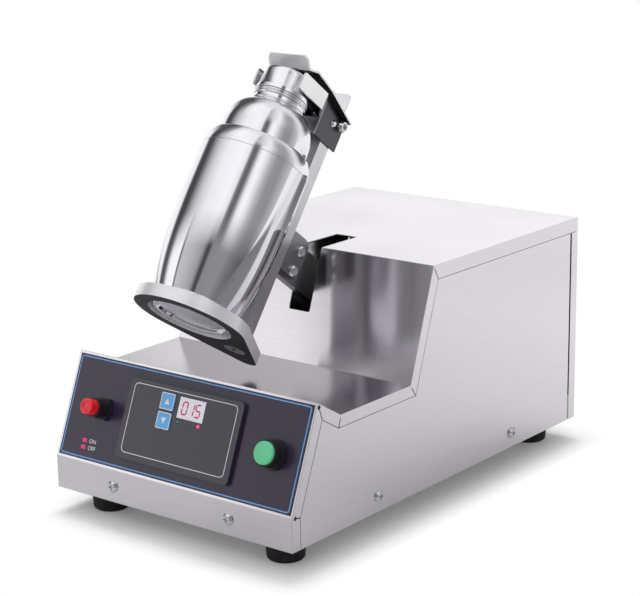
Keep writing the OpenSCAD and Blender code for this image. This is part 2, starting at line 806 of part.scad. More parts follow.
// Cabinet
module base_pan() {
    x = inner_x - fix_gap;
    y0 = sheet_t + fix_gap;
    y1 = cab_d - sheet_t - fix_gap;
    color("gainsboro") in_cabinet() difference() {
        block([-x, y0, 0], [x, y1, pan_flange_h]);
        block([pan_t - x, y0 + pan_t, pan_t], [x - pan_t, y1 - pan_t, pan_flange_h + over]);
        at_front_screws() screw_hole();
        at_side_screws() screw_hole();
        at_rear_screws() screw_hole();
        at_feet() translate([0, 0, -over]) cylinder(r = foot_screw_r + screw_fit, h = pan_t + 2 * over);
        at_stand_bolts() bolt_hole(stand_foot_t + pan_t);
        at_bracket_bolts() bolt_hole(bracket_t + pan_t);
    }
}
module arm_slot() {
    n = inward(riser_top, riser_foot);
    deep = sheet_t + over;
    for (k = [[slot_w / 2, slot_low + slot_corner], [slot_w / 2 - slot_corner, slot_low]]) {
        low = riser_foot + k[1] * riser_dir;
        prism([low - over * n, low + deep * n, [slot_back, cab_h - deep], [slot_back, cab_h + over],
            [top_y - over, cab_h + over]], -k[0], k[0]);
    }
    corner = riser_foot + (slot_low + slot_corner) * riser_dir - over * n;
    for (x = [-1, 1])
        translate([x * (slot_w / 2 - slot_corner), corner[0], corner[1]])
            rotate([atan2(n[1], n[0]) - 90, 0, 0]) cylinder(r = slot_corner, h = deep + over);
}
module mitre_slits() {
    for (i = [3:7]) {
        d = unit(flange_line[i] - profile[i]);
        n = [-d[1], d[0]] * mitre_w / 2;
        a = profile[i] + d * 2 * sheet_t;
        b = flange_line[i] + d * over;
        for (x = [-1, 1]) {
            prism([a - n, b - n, b + n, a + n], x * side_x - sheet_t, x * side_x + sheet_t);
            if (i > 5) rod_across(a + relief_r * d, relief_r, x * side_x - sheet_t, x * side_x + sheet_t);
        }
    }
}
module main_cover() {
    lip_x = inner_x - 2 * sheet_t;
    lip_y = cab_d - sheet_t - fix_gap;
    color("gainsboro") in_cabinet() difference() {
        union() {
            difference() {
                prism(profile, -side_x, side_x);
                prism(inset(profile, [-over, -over, sheet_t, sheet_t, sheet_t, sheet_t, sheet_t, sheet_t]),
                    -inner_x, inner_x);
                prism(flange_line, -side_x - over, side_x + over);
                mitre_slits();
            }
            block([-lip_x, lip_y - sheet_t, cab_h - sheet_t - rear_lip_h],
                [lip_x, lip_y, cab_h - sheet_t / 2]);
        }
        arm_slot();
        at_front_screws() screw_hole();
        at_rear_screws() screw_hole();
        panel_frame() panel_cuts();
    }
}
module panel_cuts() {
    translate([0, timer_v, 0])
        cube([housing_w + 2 * key_gap, housing_h + 2 * key_gap, 8 * sheet_t], center = true);
    for (p = [[power_u, power_v], [start_u, start_v]])
        translate([p[0], p[1], -4 * sheet_t]) cylinder(r = barrel_r + screw_fit, h = 8 * sheet_t);
}
module side_panel(side) {
    line = inset(profile, [0, rear_flange_w + rear_slit, top_flange_w + seam_gap, flange_w + seam_gap,
        flange_w + seam_gap, flange_w + seam_gap, flange_w + seam_gap, flange_w + seam_gap]);
    color("lightgray") in_cabinet() difference() {
        prism(line, side > 0 ? inner_x : -side_x, side > 0 ? side_x : -inner_x);
        at_side_screws() screw_hole();
    }
}
module rear_cover() {
    top_z = cab_h - sheet_t - seam_gap;
    flange_top = cab_h - top_flange_w - seam_gap;
    color("lightgray") in_cabinet() difference() {
        union() {
            block([-inner_x + seam_gap, cab_d - sheet_t, 0], [inner_x - seam_gap, cab_d, top_z]);
            for (x = [-side_x, inner_x])
                block([x, cab_d - rear_flange_w, 0], [x + sheet_t, cab_d, flange_top]);
            block([-side_x, cab_d - sheet_t, 0], [side_x, cab_d, flange_top]);
        }
        at_rear_screws() screw_hole();
        translate([inlet_x, cab_d, inlet_z])
            cube([inlet_w + 2 * seam_gap, 4 * sheet_t, inlet_h + 2 * seam_gap], center = true);
        at_inlet_screws() translate([0, 0, -inlet_flange_t - 2 * sheet_t])
            cylinder(r = inlet_screw_r + screw_fit, h = 4 * sheet_t);
        for (x = [-1, 1], i = [0:vent_count - 1])
            translate([x * vent_x, cab_d + over, vent_z + i * vent_step]) rotate([90, 0, 0])
                linear_extrude(sheet_t + 2 * over) vent_outline();
    }
}
module vent_outline() {
    square([vent_l - vent_w, vent_w], center = true);
    for (x = [-1, 1]) translate([x * (vent_l - vent_w) / 2, 0]) circle(vent_w / 2);
}
module foot(side, end) {
    y = end > 0 ? cab_d - foot_in_back : foot_in_front;
    edge = 1.5;
    color("#1c1c1e") in_cabinet() translate([side * (side_x - foot_in_x), y, -foot_h]) difference() {
        rotate_extrude() polygon([[0, 0], [foot_base_r - edge, 0], [foot_base_r, edge],
            [foot_top_r, foot_h - edge], [foot_top_r - edge, foot_h], [0, foot_h]]);
        translate([0, 0, -over]) cylinder(r = foot_screw_r + screw_fit, h = foot_h + 2 * over);
        translate([0, 0, -over]) cylinder(r = foot_screw_r * 2.6, h = foot_h * 0.4 + over);
    }
}
module foot_screws() {
    head_h = 3;
    color("silver") in_cabinet() at_feet() {
        translate([0, 0, -foot_h * 0.6]) mirror([0, 0, 1])
            socket_bolt(foot_screw_r, foot_screw_r * 2, head_h, foot_h * 0.6 + pan_t + screw_past);
        translate([0, 0, pan_t]) hex_nut(foot_screw_r * 1.85, foot_screw_r + fix_gap, head_h);
    }
}
module cover_screws() {
    l = sheet_t + pan_t + screw_past;
    color("silver") in_cabinet() {
        at_front_screws() pan_screw(l);
        at_side_screws() pan_screw(l);
    }
}
module rear_screws() {
    color("silver") in_cabinet() at_rear_screws() pan_screw(sheet_t + pan_t + screw_past);
}

// Control panel
module control_overlay() {
    color("#3a3746") on_panel() difference() {
        block([overlay_margin - side_x, overlay_margin, 0],
            [side_x - overlay_margin, slope_l - overlay_margin, overlay_t]);
        panel_cuts();
    }
}
module at_timer(u, v) {
    on_panel() translate([u, timer_v + v, 0]) children();
}
module timer_frame() {
    in_w = housing_w - 2 * housing_wall;
    in_h = housing_h - 2 * housing_wall;
    boss_r = 3;
    color("#15151a") at_timer(0, 0) difference() {
        union() {
            translate([0, 0, overlay_t]) linear_extrude(timer_t) round_rect(timer_w, timer_h, timer_corner);
            translate([0, 0, -housing_depth])
                linear_extrude(housing_depth + overlay_t + over) difference() {
                    square([housing_w, housing_h], center = true);
                    square([in_w, in_h], center = true);
                }
            for (x = [-1, 1], y = [-1, 1])
                translate([x * (in_w / 2 - boss_r), y * (in_h / 2 - boss_r), board_face])
                    cylinder(r = boss_r, h = board_depth + overlay_t + over);
        }
        for (v = [up_key_v, down_key_v])
            translate([key_u, v, 0])
                cube([key_w + 2 * key_gap, key_h + 2 * key_gap, 4 * frame_face], center = true);
        translate([display_u, display_v, 0])
            cube([display_w + 2 * key_gap, display_h + 2 * key_gap, 4 * frame_face], center = true);
        for (u = [green_led_u, red_led_u])
            translate([u, led_v, 0]) cylinder(r = led_r + key_gap, h = 4 * frame_face, center = true);
    }
}
module display_window() {
    color("#f0eaea") at_timer(display_u, display_v)
        block([-display_w / 2, -display_h / 2, board_face],
            [display_w / 2, display_h / 2, frame_face - display_sunk]);
}
module lamp(u) {
    at_timer(u, led_v) {
        translate([0, 0, board_face]) cylinder(r = led_r, h = frame_face + board_depth);
        translate([0, 0, frame_face]) cylinder(r1 = led_r, r2 = led_r * 0.6, h = led_rise);
    }
}
module green_lamp() {
    color("#4fd08a") lamp(green_led_u);
}
module red_lamp() {
    color("#e56a8a") lamp(red_led_u);
}
module key(v) {
    top = frame_face + key_rise;
    at_timer(key_u, v) {
        block([-key_w / 2, -key_h / 2, top - key_cap_t], [key_w / 2, key_h / 2, top]);
        translate([0, 0, key_foot]) cylinder(r = key_w * 0.19, h = top - key_foot - over);
    }
}
module up_key() {
    color("#3d5fc4") key(up_key_v);
}
module down_key() {
    color("#3d5fc4") key(down_key_v);
}
module control_board() {
    w = housing_w - 2 * housing_wall - 2 * key_gap;
    h = housing_h - 2 * housing_wall - 2 * key_gap;
    switch_w = key_w * 0.45;
    color("#2f6b3f") {
        at_timer(0, 0) block([-w / 2, -h / 2, board_face - board_t], [w / 2, h / 2, board_face]);
        for (v = [up_key_v, down_key_v])
            at_timer(key_u, v) block([-switch_w / 2, -switch_w / 2, board_face],
                [switch_w / 2, switch_w / 2, board_face + switch_h]);
    }
}
module push_collar(u, v, cap_r, r, h, base_r, sides) {
    on_panel() translate([u, v, 0]) difference() {
        union() {
            translate([0, 0, overlay_t]) cylinder(r = r, h = h - overlay_t);
            translate([0, 0, overlay_t]) cylinder(r = base_r, h = collar_base_t, $fn = sides);
            translate([0, 0, -barrel_depth]) cylinder(r = barrel_r, h = barrel_depth + collar_seat);
        }
        translate([0, 0, collar_seat]) cylinder(r = cap_r + button_gap, h = h);
        translate([0, 0, -barrel_depth - over])
            cylinder(r = stem_r + button_gap, h = barrel_depth + collar_seat + 2 * over);
    }
}
module push_cap(u, v, r, h) {
    edge = r * 0.12;
    on_panel() translate([u, v, 0]) rotate_extrude()
        polygon([[0, stem_foot], [stem_r, stem_foot], [stem_r, cap_foot], [r, cap_foot], [r, h - edge],
            [r - edge, h], [0, h]]);
}
module push_switch(u, v) {
    half = barrel_r * 1.35;
    on_panel() translate([u, v, 0])
        block([-half, -half, -barrel_depth - switch_depth], [half, half, -barrel_depth]);
}
module power_button() {
    color("#d6322c") push_cap(power_u, power_v, power_cap_r, power_cap_h);
}
module power_collar() {
    color("#1a1a1c")
        push_collar(power_u, power_v, power_cap_r, power_collar_r, power_collar_h, power_hex_r, 6);
}
module power_switch() {
    color("#2b2b2e") push_switch(power_u, power_v);
}
module start_button() {
    color("#35a86a") push_cap(start_u, start_v, start_cap_r, start_cap_h);
}
module start_collar() {
    color("#1a1a1c")
        push_collar(start_u, start_v, start_cap_r, start_collar_r, start_collar_h, start_base_r, $fn);
}
module start_switch() {
    color("#2b2b2e") push_switch(start_u, start_v);
}
module panel_nuts() {
    color("silver") for (p = [[power_u, power_v], [start_u, start_v]])
        on_panel() translate([p[0], p[1], -sheet_t - nut_t])
            hex_nut(barrel_r * 1.6, barrel_r + fix_gap, nut_t);
}

// Power inlet
module power_inlet() {
    blade = [2, 4];
    blades_at = [[-7, 2], [7, 2], [0, -2.5]];
    back_t = 3;
    rim = 5;
    sunk = 4;
    color("#1a1a1c") in_cabinet() translate([inlet_x, cab_d, inlet_z]) rotate([-90, 0, 0]) difference() {
        union() {
            translate([0, 0, -inlet_depth]) linear_extrude(inlet_depth + over)
                square([inlet_w, inlet_h], center = true);
            linear_extrude(inlet_flange_t) round_rect(inlet_screw_span + 2 * rim, inlet_h + rim, rim);
        }
        difference() {
            translate([0, 0, back_t - inlet_depth]) linear_extrude(inlet_depth + inlet_flange_t)
                square([inlet_w - 2 * inlet_wall, inlet_h - 2 * inlet_wall], center = true);
            for (p = blades_at) translate([p[0], p[1], -inlet_depth])
                linear_extrude(inlet_depth + inlet_flange_t - sunk) square(blade, center = true);
        }
        for (x = [-1, 1]) translate([x * inlet_screw_span / 2, 0, -over])
            cylinder(r = inlet_screw_r + screw_fit, h = inlet_flange_t + 2 * over);
    }
}
module inlet_screws() {
    color("silver") in_cabinet() at_inlet_screws()
        socket_bolt(inlet_screw_r, inlet_screw_r * 1.9, inlet_head_h, inlet_flange_t + sheet_t + screw_past);
}

// Swing drive
module motor() {
    r = gear_half * 0.97;
    x0 = gear_l - gear_x;
    x1 = x0 + motor_l * 0.88;
    color("#4a4c52") in_cabinet() {
        rod_across(crank, r, x0, x1);
        rod_across(crank, r * 0.9, x1, x0 + motor_l);
    }
}
module gearbox() {
    color("#8c8f94") in_cabinet() difference() {
        block([-gear_x, crank[0] - gear_half, crank[1] - gear_half],
            [gear_l - gear_x, crank[0] + gear_half, crank[1] + gear_half]);
        rod_across(crank, out_r + run_gap, -gear_x - over, gear_l / 2 - gear_x);
        at_gear_screws() translate([0, 0, -bracket_t - gear_thread - over])
            cylinder(r = bolt_r + fix_gap, h = gear_thread + 2 * over);
    }
}
module motor_bracket() {
    low = [-bracket_x, crank[0] - gear_half, pan_t];
    y = crank[0] + gear_half;
    color("#b9bbc0") in_cabinet() difference() {
        union() {
            block(low, [-gear_x, y, crank[1] + gear_half]);
            block(low, [bracket_foot - gear_x, y, pan_t + bracket_t]);
        }
        rod_across(crank, out_r * 2, -bracket_x - over, -gear_x + over);
        at_gear_screws() bolt_hole(bracket_t);
        at_bracket_bolts() bolt_hole(bracket_t);
    }
}
module drive_bolts() {
    color("#54565c") in_cabinet() {
        at_gear_screws() socket_bolt(bolt_r, bolt_head_r, bolt_head_h, bracket_t + gear_thread);
        at_stand_bolts() socket_bolt(bolt_r, bolt_head_r, bolt_head_h, stand_foot_t + pan_t);
        at_bracket_bolts() socket_bolt(bolt_r, bolt_head_r, bolt_head_h, bracket_t + pan_t);
    }
}
module capacitor_frame() {
    in_cabinet() translate([capacitor_x, capacitor_y, pan_t + clip_t + capacitor_r]) children();
}
module run_capacitor() {
    color("#c9cbd0") capacitor_frame() rod_across([0, 0], capacitor_r, -capacitor_l / 2, capacitor_l / 2);
}
module capacitor_clip() {
    r = capacitor_r + run_gap;
    color("#b9bbc0") capacitor_frame() difference() {
        block([-clip_w / 2, -r - clip_t, -capacitor_r - clip_t],
            [clip_w / 2, r + clip_t, capacitor_r * 0.3]);
        rod_across([0, 0], r, -clip_w, clip_w);
        block([-clip_w, -r, 0], [clip_w, r, capacitor_r]);
    }
}
module bearing_stand(side) {
    x = side * stand_x;
    y0 = pivot[0] - stand_foot;
    y1 = pivot[0] + stand_foot;
    r = bearing_r + stand_wall;
    foot_top = pan_t + stand_foot_t;
    color("#9a9da3") in_cabinet() difference() {
        union() {
            block([x - stand_foot_w / 2, y0, pan_t], [x + stand_foot_w / 2, y1, foot_top]);
            prism([pivot - [r, 0], [y0, pan_t], [y1, pan_t], pivot + [r, 0]],
                x - stand_t / 2, x + stand_t / 2);
            rod_across(pivot, r, x - stand_t / 2, x + stand_t / 2);
        }
        rod_across(pivot, bearing_r + fix_gap, x - stand_t, x + stand_t);
        at_stand_bolts() bolt_hole(stand_foot_t);
    }
}
module shaft_bearings() {
    color("silver") in_cabinet() for (x = [-stand_x, stand_x]) difference() {
        rod_across(pivot, bearing_r, x - bearing_w / 2, x + bearing_w / 2);
        rod_across(pivot, shaft_r + run_gap, x - bearing_w, x + bearing_w);
    }
}
module output_shaft() {
    color("silver") in_cabinet() rod_across(crank, out_r, -disc_x, gear_l / 2 - gear_x - over);
}
module crank_disc() {
    color("#7d8086") in_cabinet() difference() {
        rod_across(crank, crank_disc_r, -disc_x, crank_disc_t - disc_x);
        rod_across(crank, out_r + fix_gap, -disc_x - over, crank_disc_t - disc_x + over);
        rod_across(crank + [0, crank_r], pin_r + fix_gap, -disc_x - over, crank_disc_t - disc_x + over);
    }
}
module crank_pin() {
    color("silver") in_cabinet()
        rod_across(crank + [0, crank_r], pin_r, -disc_x - crank_pin_l, crank_disc_t - disc_x);
}
module connecting_rod() {
    big = rod_top - [0, rod_len];
    x = -rod_x - rod_t;
    color("#a7aab0") in_cabinet() difference() {
        translate([0, big[0], big[1]]) across(x, x + rod_t)
            tapered_link(rod_eye_r, rod_eye_r * 0.9, rod_len);
        rod_across(rod_top, pin_r + run_gap, x - over, x + rod_t + over);
        rod_across(big, pin_r + run_gap, x - over, x + rod_t + over);
    }
}
module main_shaft() {
    color("silver") in_cabinet() rod_across(pivot, shaft_r, -shaft_l / 2, shaft_l / 2);
}
module rocker_lever() {
    color("#7d8086") in_cabinet() difference() {
        translate([0, pivot[0], pivot[1]]) across(-lever_x, lever_t - lever_x) rotate(half_swing - 90)
            tapered_link(lever_hub_r, lever_eye_r, lever_r);
        rod_across(pivot, shaft_r + fix_gap, -lever_x - over, lever_t - lever_x + over);
        rod_across(rod_top, pin_r + fix_gap, -lever_x - over, lever_t - lever_x + over);
    }
}
module rod_pin() {
    x = layer_gap - rod_x;
    head_t = pin_r * 0.4;
    color("silver") in_cabinet() {
        rod_across(rod_top, pin_r, -lever_x, x);
        rod_across(rod_top, pin_r * 1.5, x, x + head_t);
    }
}

// Cradle
module at_lug_screws() {
    for (s = [-1, 1])
        translate([0, spine_back + lug_screw_b, arm_level + s * lug_screw_s]) rotate([0, 90, 0]) children();
}
module swing_arm() {
    hub = [arm_reach, arm_level];
    color("#8d9096") in_cradle() difference() {
        union() {
            block([arm_x, spine_back + arm_end, arm_level - arm_w / 2],
                [lug_x, arm_reach, arm_level + arm_w / 2]);
            rod_across(hub, arm_hub_r, arm_x - arm_hub_side, lug_x + arm_hub_side);
        }
        rod_across(hub, shaft_r + fix_gap, arm_x - arm_hub_side - over, lug_x + arm_hub_side + over);
        at_lug_screws() cylinder(r = lug_screw_r + fix_gap, h = 4 * arm_t, center = true);
    }
}
module lug_plate() {
    b1 = spine_back + lug_l;
    color("#a2a4a9") in_cradle() difference() {
        union() {
            block([lug_x, spine_back, lug_low], [lug_x + lug_t, b1, lug_high - lug_corner]);
            block([lug_x, spine_back, lug_low], [lug_x + lug_t, b1 - lug_corner, lug_high]);
            rod_across([b1 - lug_corner, lug_high - lug_corner], lug_corner, lug_x, lug_x + lug_t);
        }
        at_lug_screws() cylinder(r = lug_screw_r + screw_fit, h = 4 * (arm_t + lug_t), center = true);
    }
}
module cradle_screws() {
    color("silver") in_cradle() {
        at_lug_screws() {
            translate([0, 0, lug_x + lug_t])
                socket_bolt(lug_screw_r, lug_head_r, lug_head_h, lug_t + arm_t + nut_t);
            translate([0, 0, arm_x - nut_t]) hex_nut(lug_head_r * 1.1, lug_screw_r + fix_gap, nut_t);
        }
        translate([base_screw_x, spine_b + spine_d / 2, 0]) difference() {
            union() {
                cylinder(r1 = base_screw_head_r, r2 = base_screw_r, h = base_screw_head_r - base_screw_r);
                cylinder(r = base_screw_r, h = plate_t + spine_foot_h * 0.7);
            }
            translate([0, 0, -over]) cylinder(r = base_screw_r * 0.8, h = over + base_screw_r, $fn = 6);
        }
    }
}
module spine() {
    color("#a8aaae") in_cradle() difference() {
        block([-spine_w / 2, spine_b, plate_t], [spine_w / 2, spine_back, spine_top]);
        block([spine_wall - spine_w / 2, spine_b + spine_wall, plate_t + spine_foot_h],
            [spine_w / 2 - spine_wall, spine_back - spine_wall, spine_top + over]);
        translate([base_screw_x, spine_b + spine_d / 2, plate_t - over])
            cylinder(r = base_screw_r + fix_gap, h = spine_foot_h + 2 * over);
    }
}
module base_plate() {
    sink = base_screw_head_r - base_screw_r + screw_fit;
    color("#b4b6ba") in_cradle() difference() {
        linear_extrude(plate_t) tapered_link(ring_r, tail_r, tail_b);
        translate([0, 0, -over]) cylinder(r = ring_hole_r, h = ledge_s + over);
        translate([0, 0, ledge_s - over]) cylinder(r1 = belly(ledge_s - over) + seat_gap,
            r2 = belly(plate_t + over) + seat_gap, h = plate_t - ledge_s + 2 * over);
        translate([base_screw_x, spine_b + spine_d / 2, 0]) {
            translate([0, 0, -over]) cylinder(r = base_screw_r + screw_fit, h = plate_t + 2 * over);
            cylinder(r1 = base_screw_head_r + screw_fit, r2 = base_screw_r + screw_fit, h = sink);
            translate([0, 0, -over]) cylinder(r = base_screw_head_r + screw_fit, h = over);
        }
    }
}

// Fork and latch
module fork_plan() {
    bend = [ear_x + fork_t / 2, bridge_b];
    side = [[ear_x + fork_t / 2, pivot_b + fork_corner], bend, [cheek_x + fork_t / 2, cheek_b],
        [cheek_x + fork_t / 2, -cheek_reach]];
    polygon(stroke(side, fork_t));
    mirror([1, 0]) polygon(stroke(side, fork_t));
}
module fork_outline() {
    nose_b = cheek_corner - cheek_reach;
    nose_s = [cheek_low + cheek_corner, cheek_high - cheek_corner];
    b0 = bridge_b - fork_t;
    b1 = pivot_b + fork_corner;
    apex = [b0, pivot_s + fork_corner + (pivot_b - bridge_b) * tan(strap_slope) * 0.8];
    polygon([[b1, fork_low], [b1, pivot_s], latch_axis + fork_corner * strap_n, apex,
        [b0 - 3 * fork_t, cheek_high], [nose_b, cheek_high], [-cheek_reach, nose_s[1]],
        [-cheek_reach, nose_s[0]], [nose_b, cheek_low], [b0, cheek_low], [b0, fork_low]]);
    for (s = nose_s) translate([nose_b, s]) circle(cheek_corner);
    translate(latch_axis) circle(fork_corner);
}
module fork_bracket() {
    wide = cheek_x + 2 * fork_t;
    color("#a2a4a9") in_cradle() difference() {
        union() {
            intersection() {
                translate([0, 0, fork_low]) linear_extrude(pad_top - fork_low) fork_plan();
                across(-wide, wide) fork_outline();
            }
            block([-ear_x - fork_t / 2, bridge_b, fork_low],
                [ear_x + fork_t / 2, bridge_b + fork_t, spine_top]);
        }
        rod_across(latch_axis, pivot_r + fix_gap, -wide, wide);
        rod_across([stop_pin_b, stop_pin_s], stop_pin_r + fix_gap, -wide, wide);
    }
}
module stop_pin() {
    x = ear_x + fork_t;
    head_r = stop_pin_r + 1;
    color("silver") in_cradle() {
        rod_across([stop_pin_b, stop_pin_s], stop_pin_r, -x, x);
        for (side = [-1, 1]) translate([side * x, stop_pin_b, stop_pin_s]) rotate([0, side * 90, 0])
            cylinder(r1 = head_r, r2 = head_r * 0.6, h = head_r * 0.6);
    }
}
module latch_pivot() {
    x = ear_x + fork_t;
    nut_h = 3.5;
    color("silver") in_cradle() {
        translate([x, pivot_b, pivot_s]) rotate([0, 90, 0])
            socket_bolt(pivot_r, pivot_head_r, pivot_head_h, 2 * x + nut_h);
        translate([-x - nut_h, pivot_b, pivot_s]) rotate([0, 90, 0])
            hex_nut(pivot_head_r, pivot_r + fix_gap, nut_h);
    }
}
module strap_plan() {
    b0 = strap_root[0] - lip_reach - strap_t;
    b1 = strap_end[0] + strap_t;
    translate([-strap_w / 2, b0 + lip_corner]) square([strap_w, b1 - b0 - lip_corner]);
    translate([lip_corner - strap_w / 2, b0]) square([strap_w - 2 * lip_corner, lip_corner + over]);
    for (x = [-1, 1]) translate([x * (strap_w / 2 - lip_corner), b0 + lip_corner]) circle(lip_corner);
}
module tab_outline() {
    square([tab_w, tab_h - tab_corner]);
    translate([tab_corner, 0]) square([tab_w - 2 * tab_corner, tab_h]);
    for (x = [tab_corner, tab_w - tab_corner]) translate([x, tab_h - tab_corner]) circle(tab_corner);
}
module latch_pad() {
    low = cap_top + cap_gap;
    front = strap_root + pad_front * unit([-lip_reach, lip_rise]);
    rear = strap_root + (pad_l - pad_front) * unit(strap_crest - strap_root);
    color("#202225") in_cradle() difference() {
        prism([[front[0], low], [rear[0], low], rear, strap_root, front], -pad_w / 2, pad_w / 2);
        prism(stroke(strap_path, strap_t + 2 * pad_fit), -pad_w, pad_w);
    }
}
module latch_strap() {
    foot = strap_end[1] - strap_t / 2;
    ear_r = fork_corner - strap_gap;
    ear = [latch_axis + [-ear_r, 0], latch_axis + [ear_r, 0], strap_mid, strap_mid + ear_r * 1.6 * strap_f];
    color("#c4c6ca") in_cradle() difference() {
        union() {
            intersection() {
                prism(stroke(strap_path, strap_t), -strap_w / 2, strap_w / 2);
                linear_extrude(2 * pad_top) strap_plan();
            }
            translate([-tab_w / 2, strap_end[0] + strap_t / 2, foot]) rotate([90, 0, 0])
                linear_extrude(strap_t) tab_outline();
            for (x = [strap_ear_x, -strap_ear_x - strap_t]) {
                prism(ear, x, x + strap_t);
                rod_across(latch_axis, ear_r, x, x + strap_t);
            }
        }
        rod_across(latch_axis, pivot_r + run_gap, -strap_w, strap_w);
    }
}

// Latch spring, one wire with a leg under the stop pin and a leg behind the thumb tab
function coil_point(t) =
    let (a = -90 + t * (360 * coil_turns + 90))
    [coil_l * (t - 0.5), pivot_b + coil_r * cos(a), pivot_s + coil_r * sin(a)];
coil_rings = 10 * coil_turns;
tab_back = strap_end[0] + strap_t / 2 + wire_r + wire_gap;
wire_path = concat(
    [[-coil_l / 2, stop_pin_b - stop_pin_r, leg_s], [-coil_l / 2, pivot_b - coil_r, leg_s]],
    [for (i = [0:coil_rings]) coil_point(i / coil_rings)],
    [[coil_l / 2, tab_back - wire_r, pivot_s + 0.6 * strap_off],
        [coil_l / 2, tab_back, pivot_s + 1.1 * strap_off],
        [coil_l / 2, tab_back, strap_end[1] + 10 * wire_r]]);
function wire_dir(i) = unit(wire_path[min(i + 1, len(wire_path) - 1)] - wire_path[max(i - 1, 0)]);
wire_sides = 6;
function wire_ring(i) =
    let (t = wire_dir(i), e = unit([1, 0, 0] - t[0] * t), f = cross(t, e))
    [for (k = [0:wire_sides - 1])
        let (a = 360 * k / wire_sides)
        wire_path[i] + wire_r * (cos(a) * e + sin(a) * f)];
module latch_spring() {
    n = len(wire_path);
    m = wire_sides;
    half_turn = 6;
    spans = [for (i = [0:n - 1], j = [i + half_turn:n - 1]) norm(wire_path[i] - wire_path[j])];
    echo(str("latch spring, least gap to itself: ", min(spans) - 2 * wire_r));
    color("#6f7278") in_cradle() polyhedron(
        points = [for (i = [0:n - 1]) each wire_ring(i)],
        faces = concat(
            [for (i = [0:n - 2], k = [0:m - 1])
                let (a = i * m + k, b = i * m + (k + 1) % m)
                each [[a, b + m, b], [a, a + m, b + m]]],
            [for (k = [1:m - 2]) [0, k, k + 1]],
            [for (k = [1:m - 2]) [(n - 1) * m, (n - 1) * m + k + 1, (n - 1) * m + k]]));
}

// Shaker
function body_line(d) = [
    for (i = [0:steps])
        let (s = foot_s + (rim_s - foot_s) * i / steps)
        [belly(s) - d, s]
];
module shaker_body() {
    rim = 2.5;
    low = foot_s + bottom_rise;
    floor_s = low + shaker_wall;
    inside = [for (p = body_line(shaker_wall)) if (p[1] > floor_s + shaker_wall) p];
    color("#d8dade") in_cradle() rotate_extrude()
        polygon(concat([[0, low], [foot_r - 1.6 * rim, low], [foot_r - rim, foot_s]], body_line(0),
            backwards(inside), [[foot_r - 0.8 * rim, floor_s], [0, floor_s]]));
}
function dome_line(d) = [
    for (i = [0:steps])
        let (a = acos(dome_end_r / dome_r) * i / steps)
        [dome_r * cos(a) - d, rim_s + belt_h + belt_step + dome_h * sin(a) - d * sin(a)]
];
function neck_line() = [
    for (i = [0:bead_count - 1], k = [0.15, 0.35, 0.65, 0.85])
        let (out = k > 0.3 && k < 0.7 ? bead_r : 0)
        [neck_r + out, neck_s + (i + k) * bead_step]
];
module shaker_lid() {
    edge = rim_s + shaker_gap;
    skirt_r = belly(rim_s - skirt_h) - shaker_wall - shaker_gap;
    belt_s = rim_s + belt_h;
    top = cap_s + strainer_h;
    cap_seat = cap_s - shaker_gap;
    seat_r = cap_r - 2 * shaker_gap;
    seat_low = cap_seat - bead_r * 1.7;
    outer = concat([[skirt_r, rim_s - skirt_h], [skirt_r, edge], [belly_r, edge],
        [belly_r, rim_s + belt_h * 0.25], [belly_r - belt_taper * 0.35, rim_s + belt_h * 0.65],
        [belt_top_r, belt_s],
        [dome_r + belt_step * 0.25, belt_s + belt_step * 0.6]], dome_line(0), neck_line(),
        [[seat_r, seat_low], [seat_r, cap_seat], [spigot_r, cap_seat], [spigot_r, top],
        [0, top]]);
    inner = concat([[0, top - shaker_wall], [spigot_r - shaker_wall, top - shaker_wall],
        [spigot_r - shaker_wall, seat_low], [neck_r - shaker_wall, seat_low - shaker_wall],
        [neck_r - shaker_wall, neck_s - shaker_wall]], backwards(dome_line(shaker_wall)),
        [[skirt_r - shaker_wall, belt_s - belt_h * 0.4], [skirt_r - shaker_wall, rim_s - skirt_h]]);
    color("#dfe1e4") in_cradle() difference() {
        rotate_extrude() polygon(concat(outer, inner));
        for (i = [0:5]) rotate(60 * i) translate([spigot_r * 0.55, 0, top - 2 * shaker_wall])
            cylinder(r = strainer_hole_r, h = 4 * shaker_wall);
        translate([0, 0, top - 2 * shaker_wall]) cylinder(r = strainer_hole_r, h = 4 * shaker_wall);
    }
}
module shaker_cap() {
    edge = arc([cap_top_r - cap_edge, cap_top - cap_edge], cap_edge, 0, 80);
    inside = arc([cap_top_r - cap_edge, cap_top - cap_edge], cap_edge - shaker_wall, 80, 0);
    color("#e2e4e7") in_cradle() rotate_extrude() polygon(concat([[cap_r, cap_s]], edge, [[0, cap_top],
        [0, cap_top - shaker_wall]], inside, [[cap_r - shaker_wall, cap_s]]));
}

base_pan();
main_cover();
side_panel(-1);  // left_side_panel
side_panel(1);  // right_side_panel
rear_cover();
foot(-1, -1);  // foot_front_left
foot(1, -1);  // foot_front_right
foot(-1, 1);  // foot_rear_left
foot(1, 1);  // foot_rear_right
foot_screws();
cover_screws();
rear_screws();
control_overlay();
timer_frame();
display_window();
green_lamp();
red_lamp();
up_key();
down_key();
control_board();
power_button();
power_collar();
power_switch();
start_button();
start_collar();
start_switch();
panel_nuts();
power_inlet();
inlet_screws();
motor();
gearbox();
motor_bracket();
drive_bolts();
run_capacitor();
capacitor_clip();
bearing_stand(-1);  // bearing_stand_left
bearing_stand(1);  // bearing_stand_right
shaft_bearings();
output_shaft();
crank_disc();
crank_pin();
connecting_rod();
main_shaft();
rocker_lever();
rod_pin();
swing_arm();
lug_plate();
cradle_screws();
spine();
base_plate();
fork_bracket();
stop_pin();
latch_pivot();
latch_strap();
latch_pad();
latch_spring();
shaker_body();
shaker_lid();
shaker_cap();
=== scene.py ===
"""Looks of a countertop shaking machine: brushed cabinet, printed panel, cradle and polished shaker."""
import json
import math

import bpy
from mathutils import Matrix, Vector


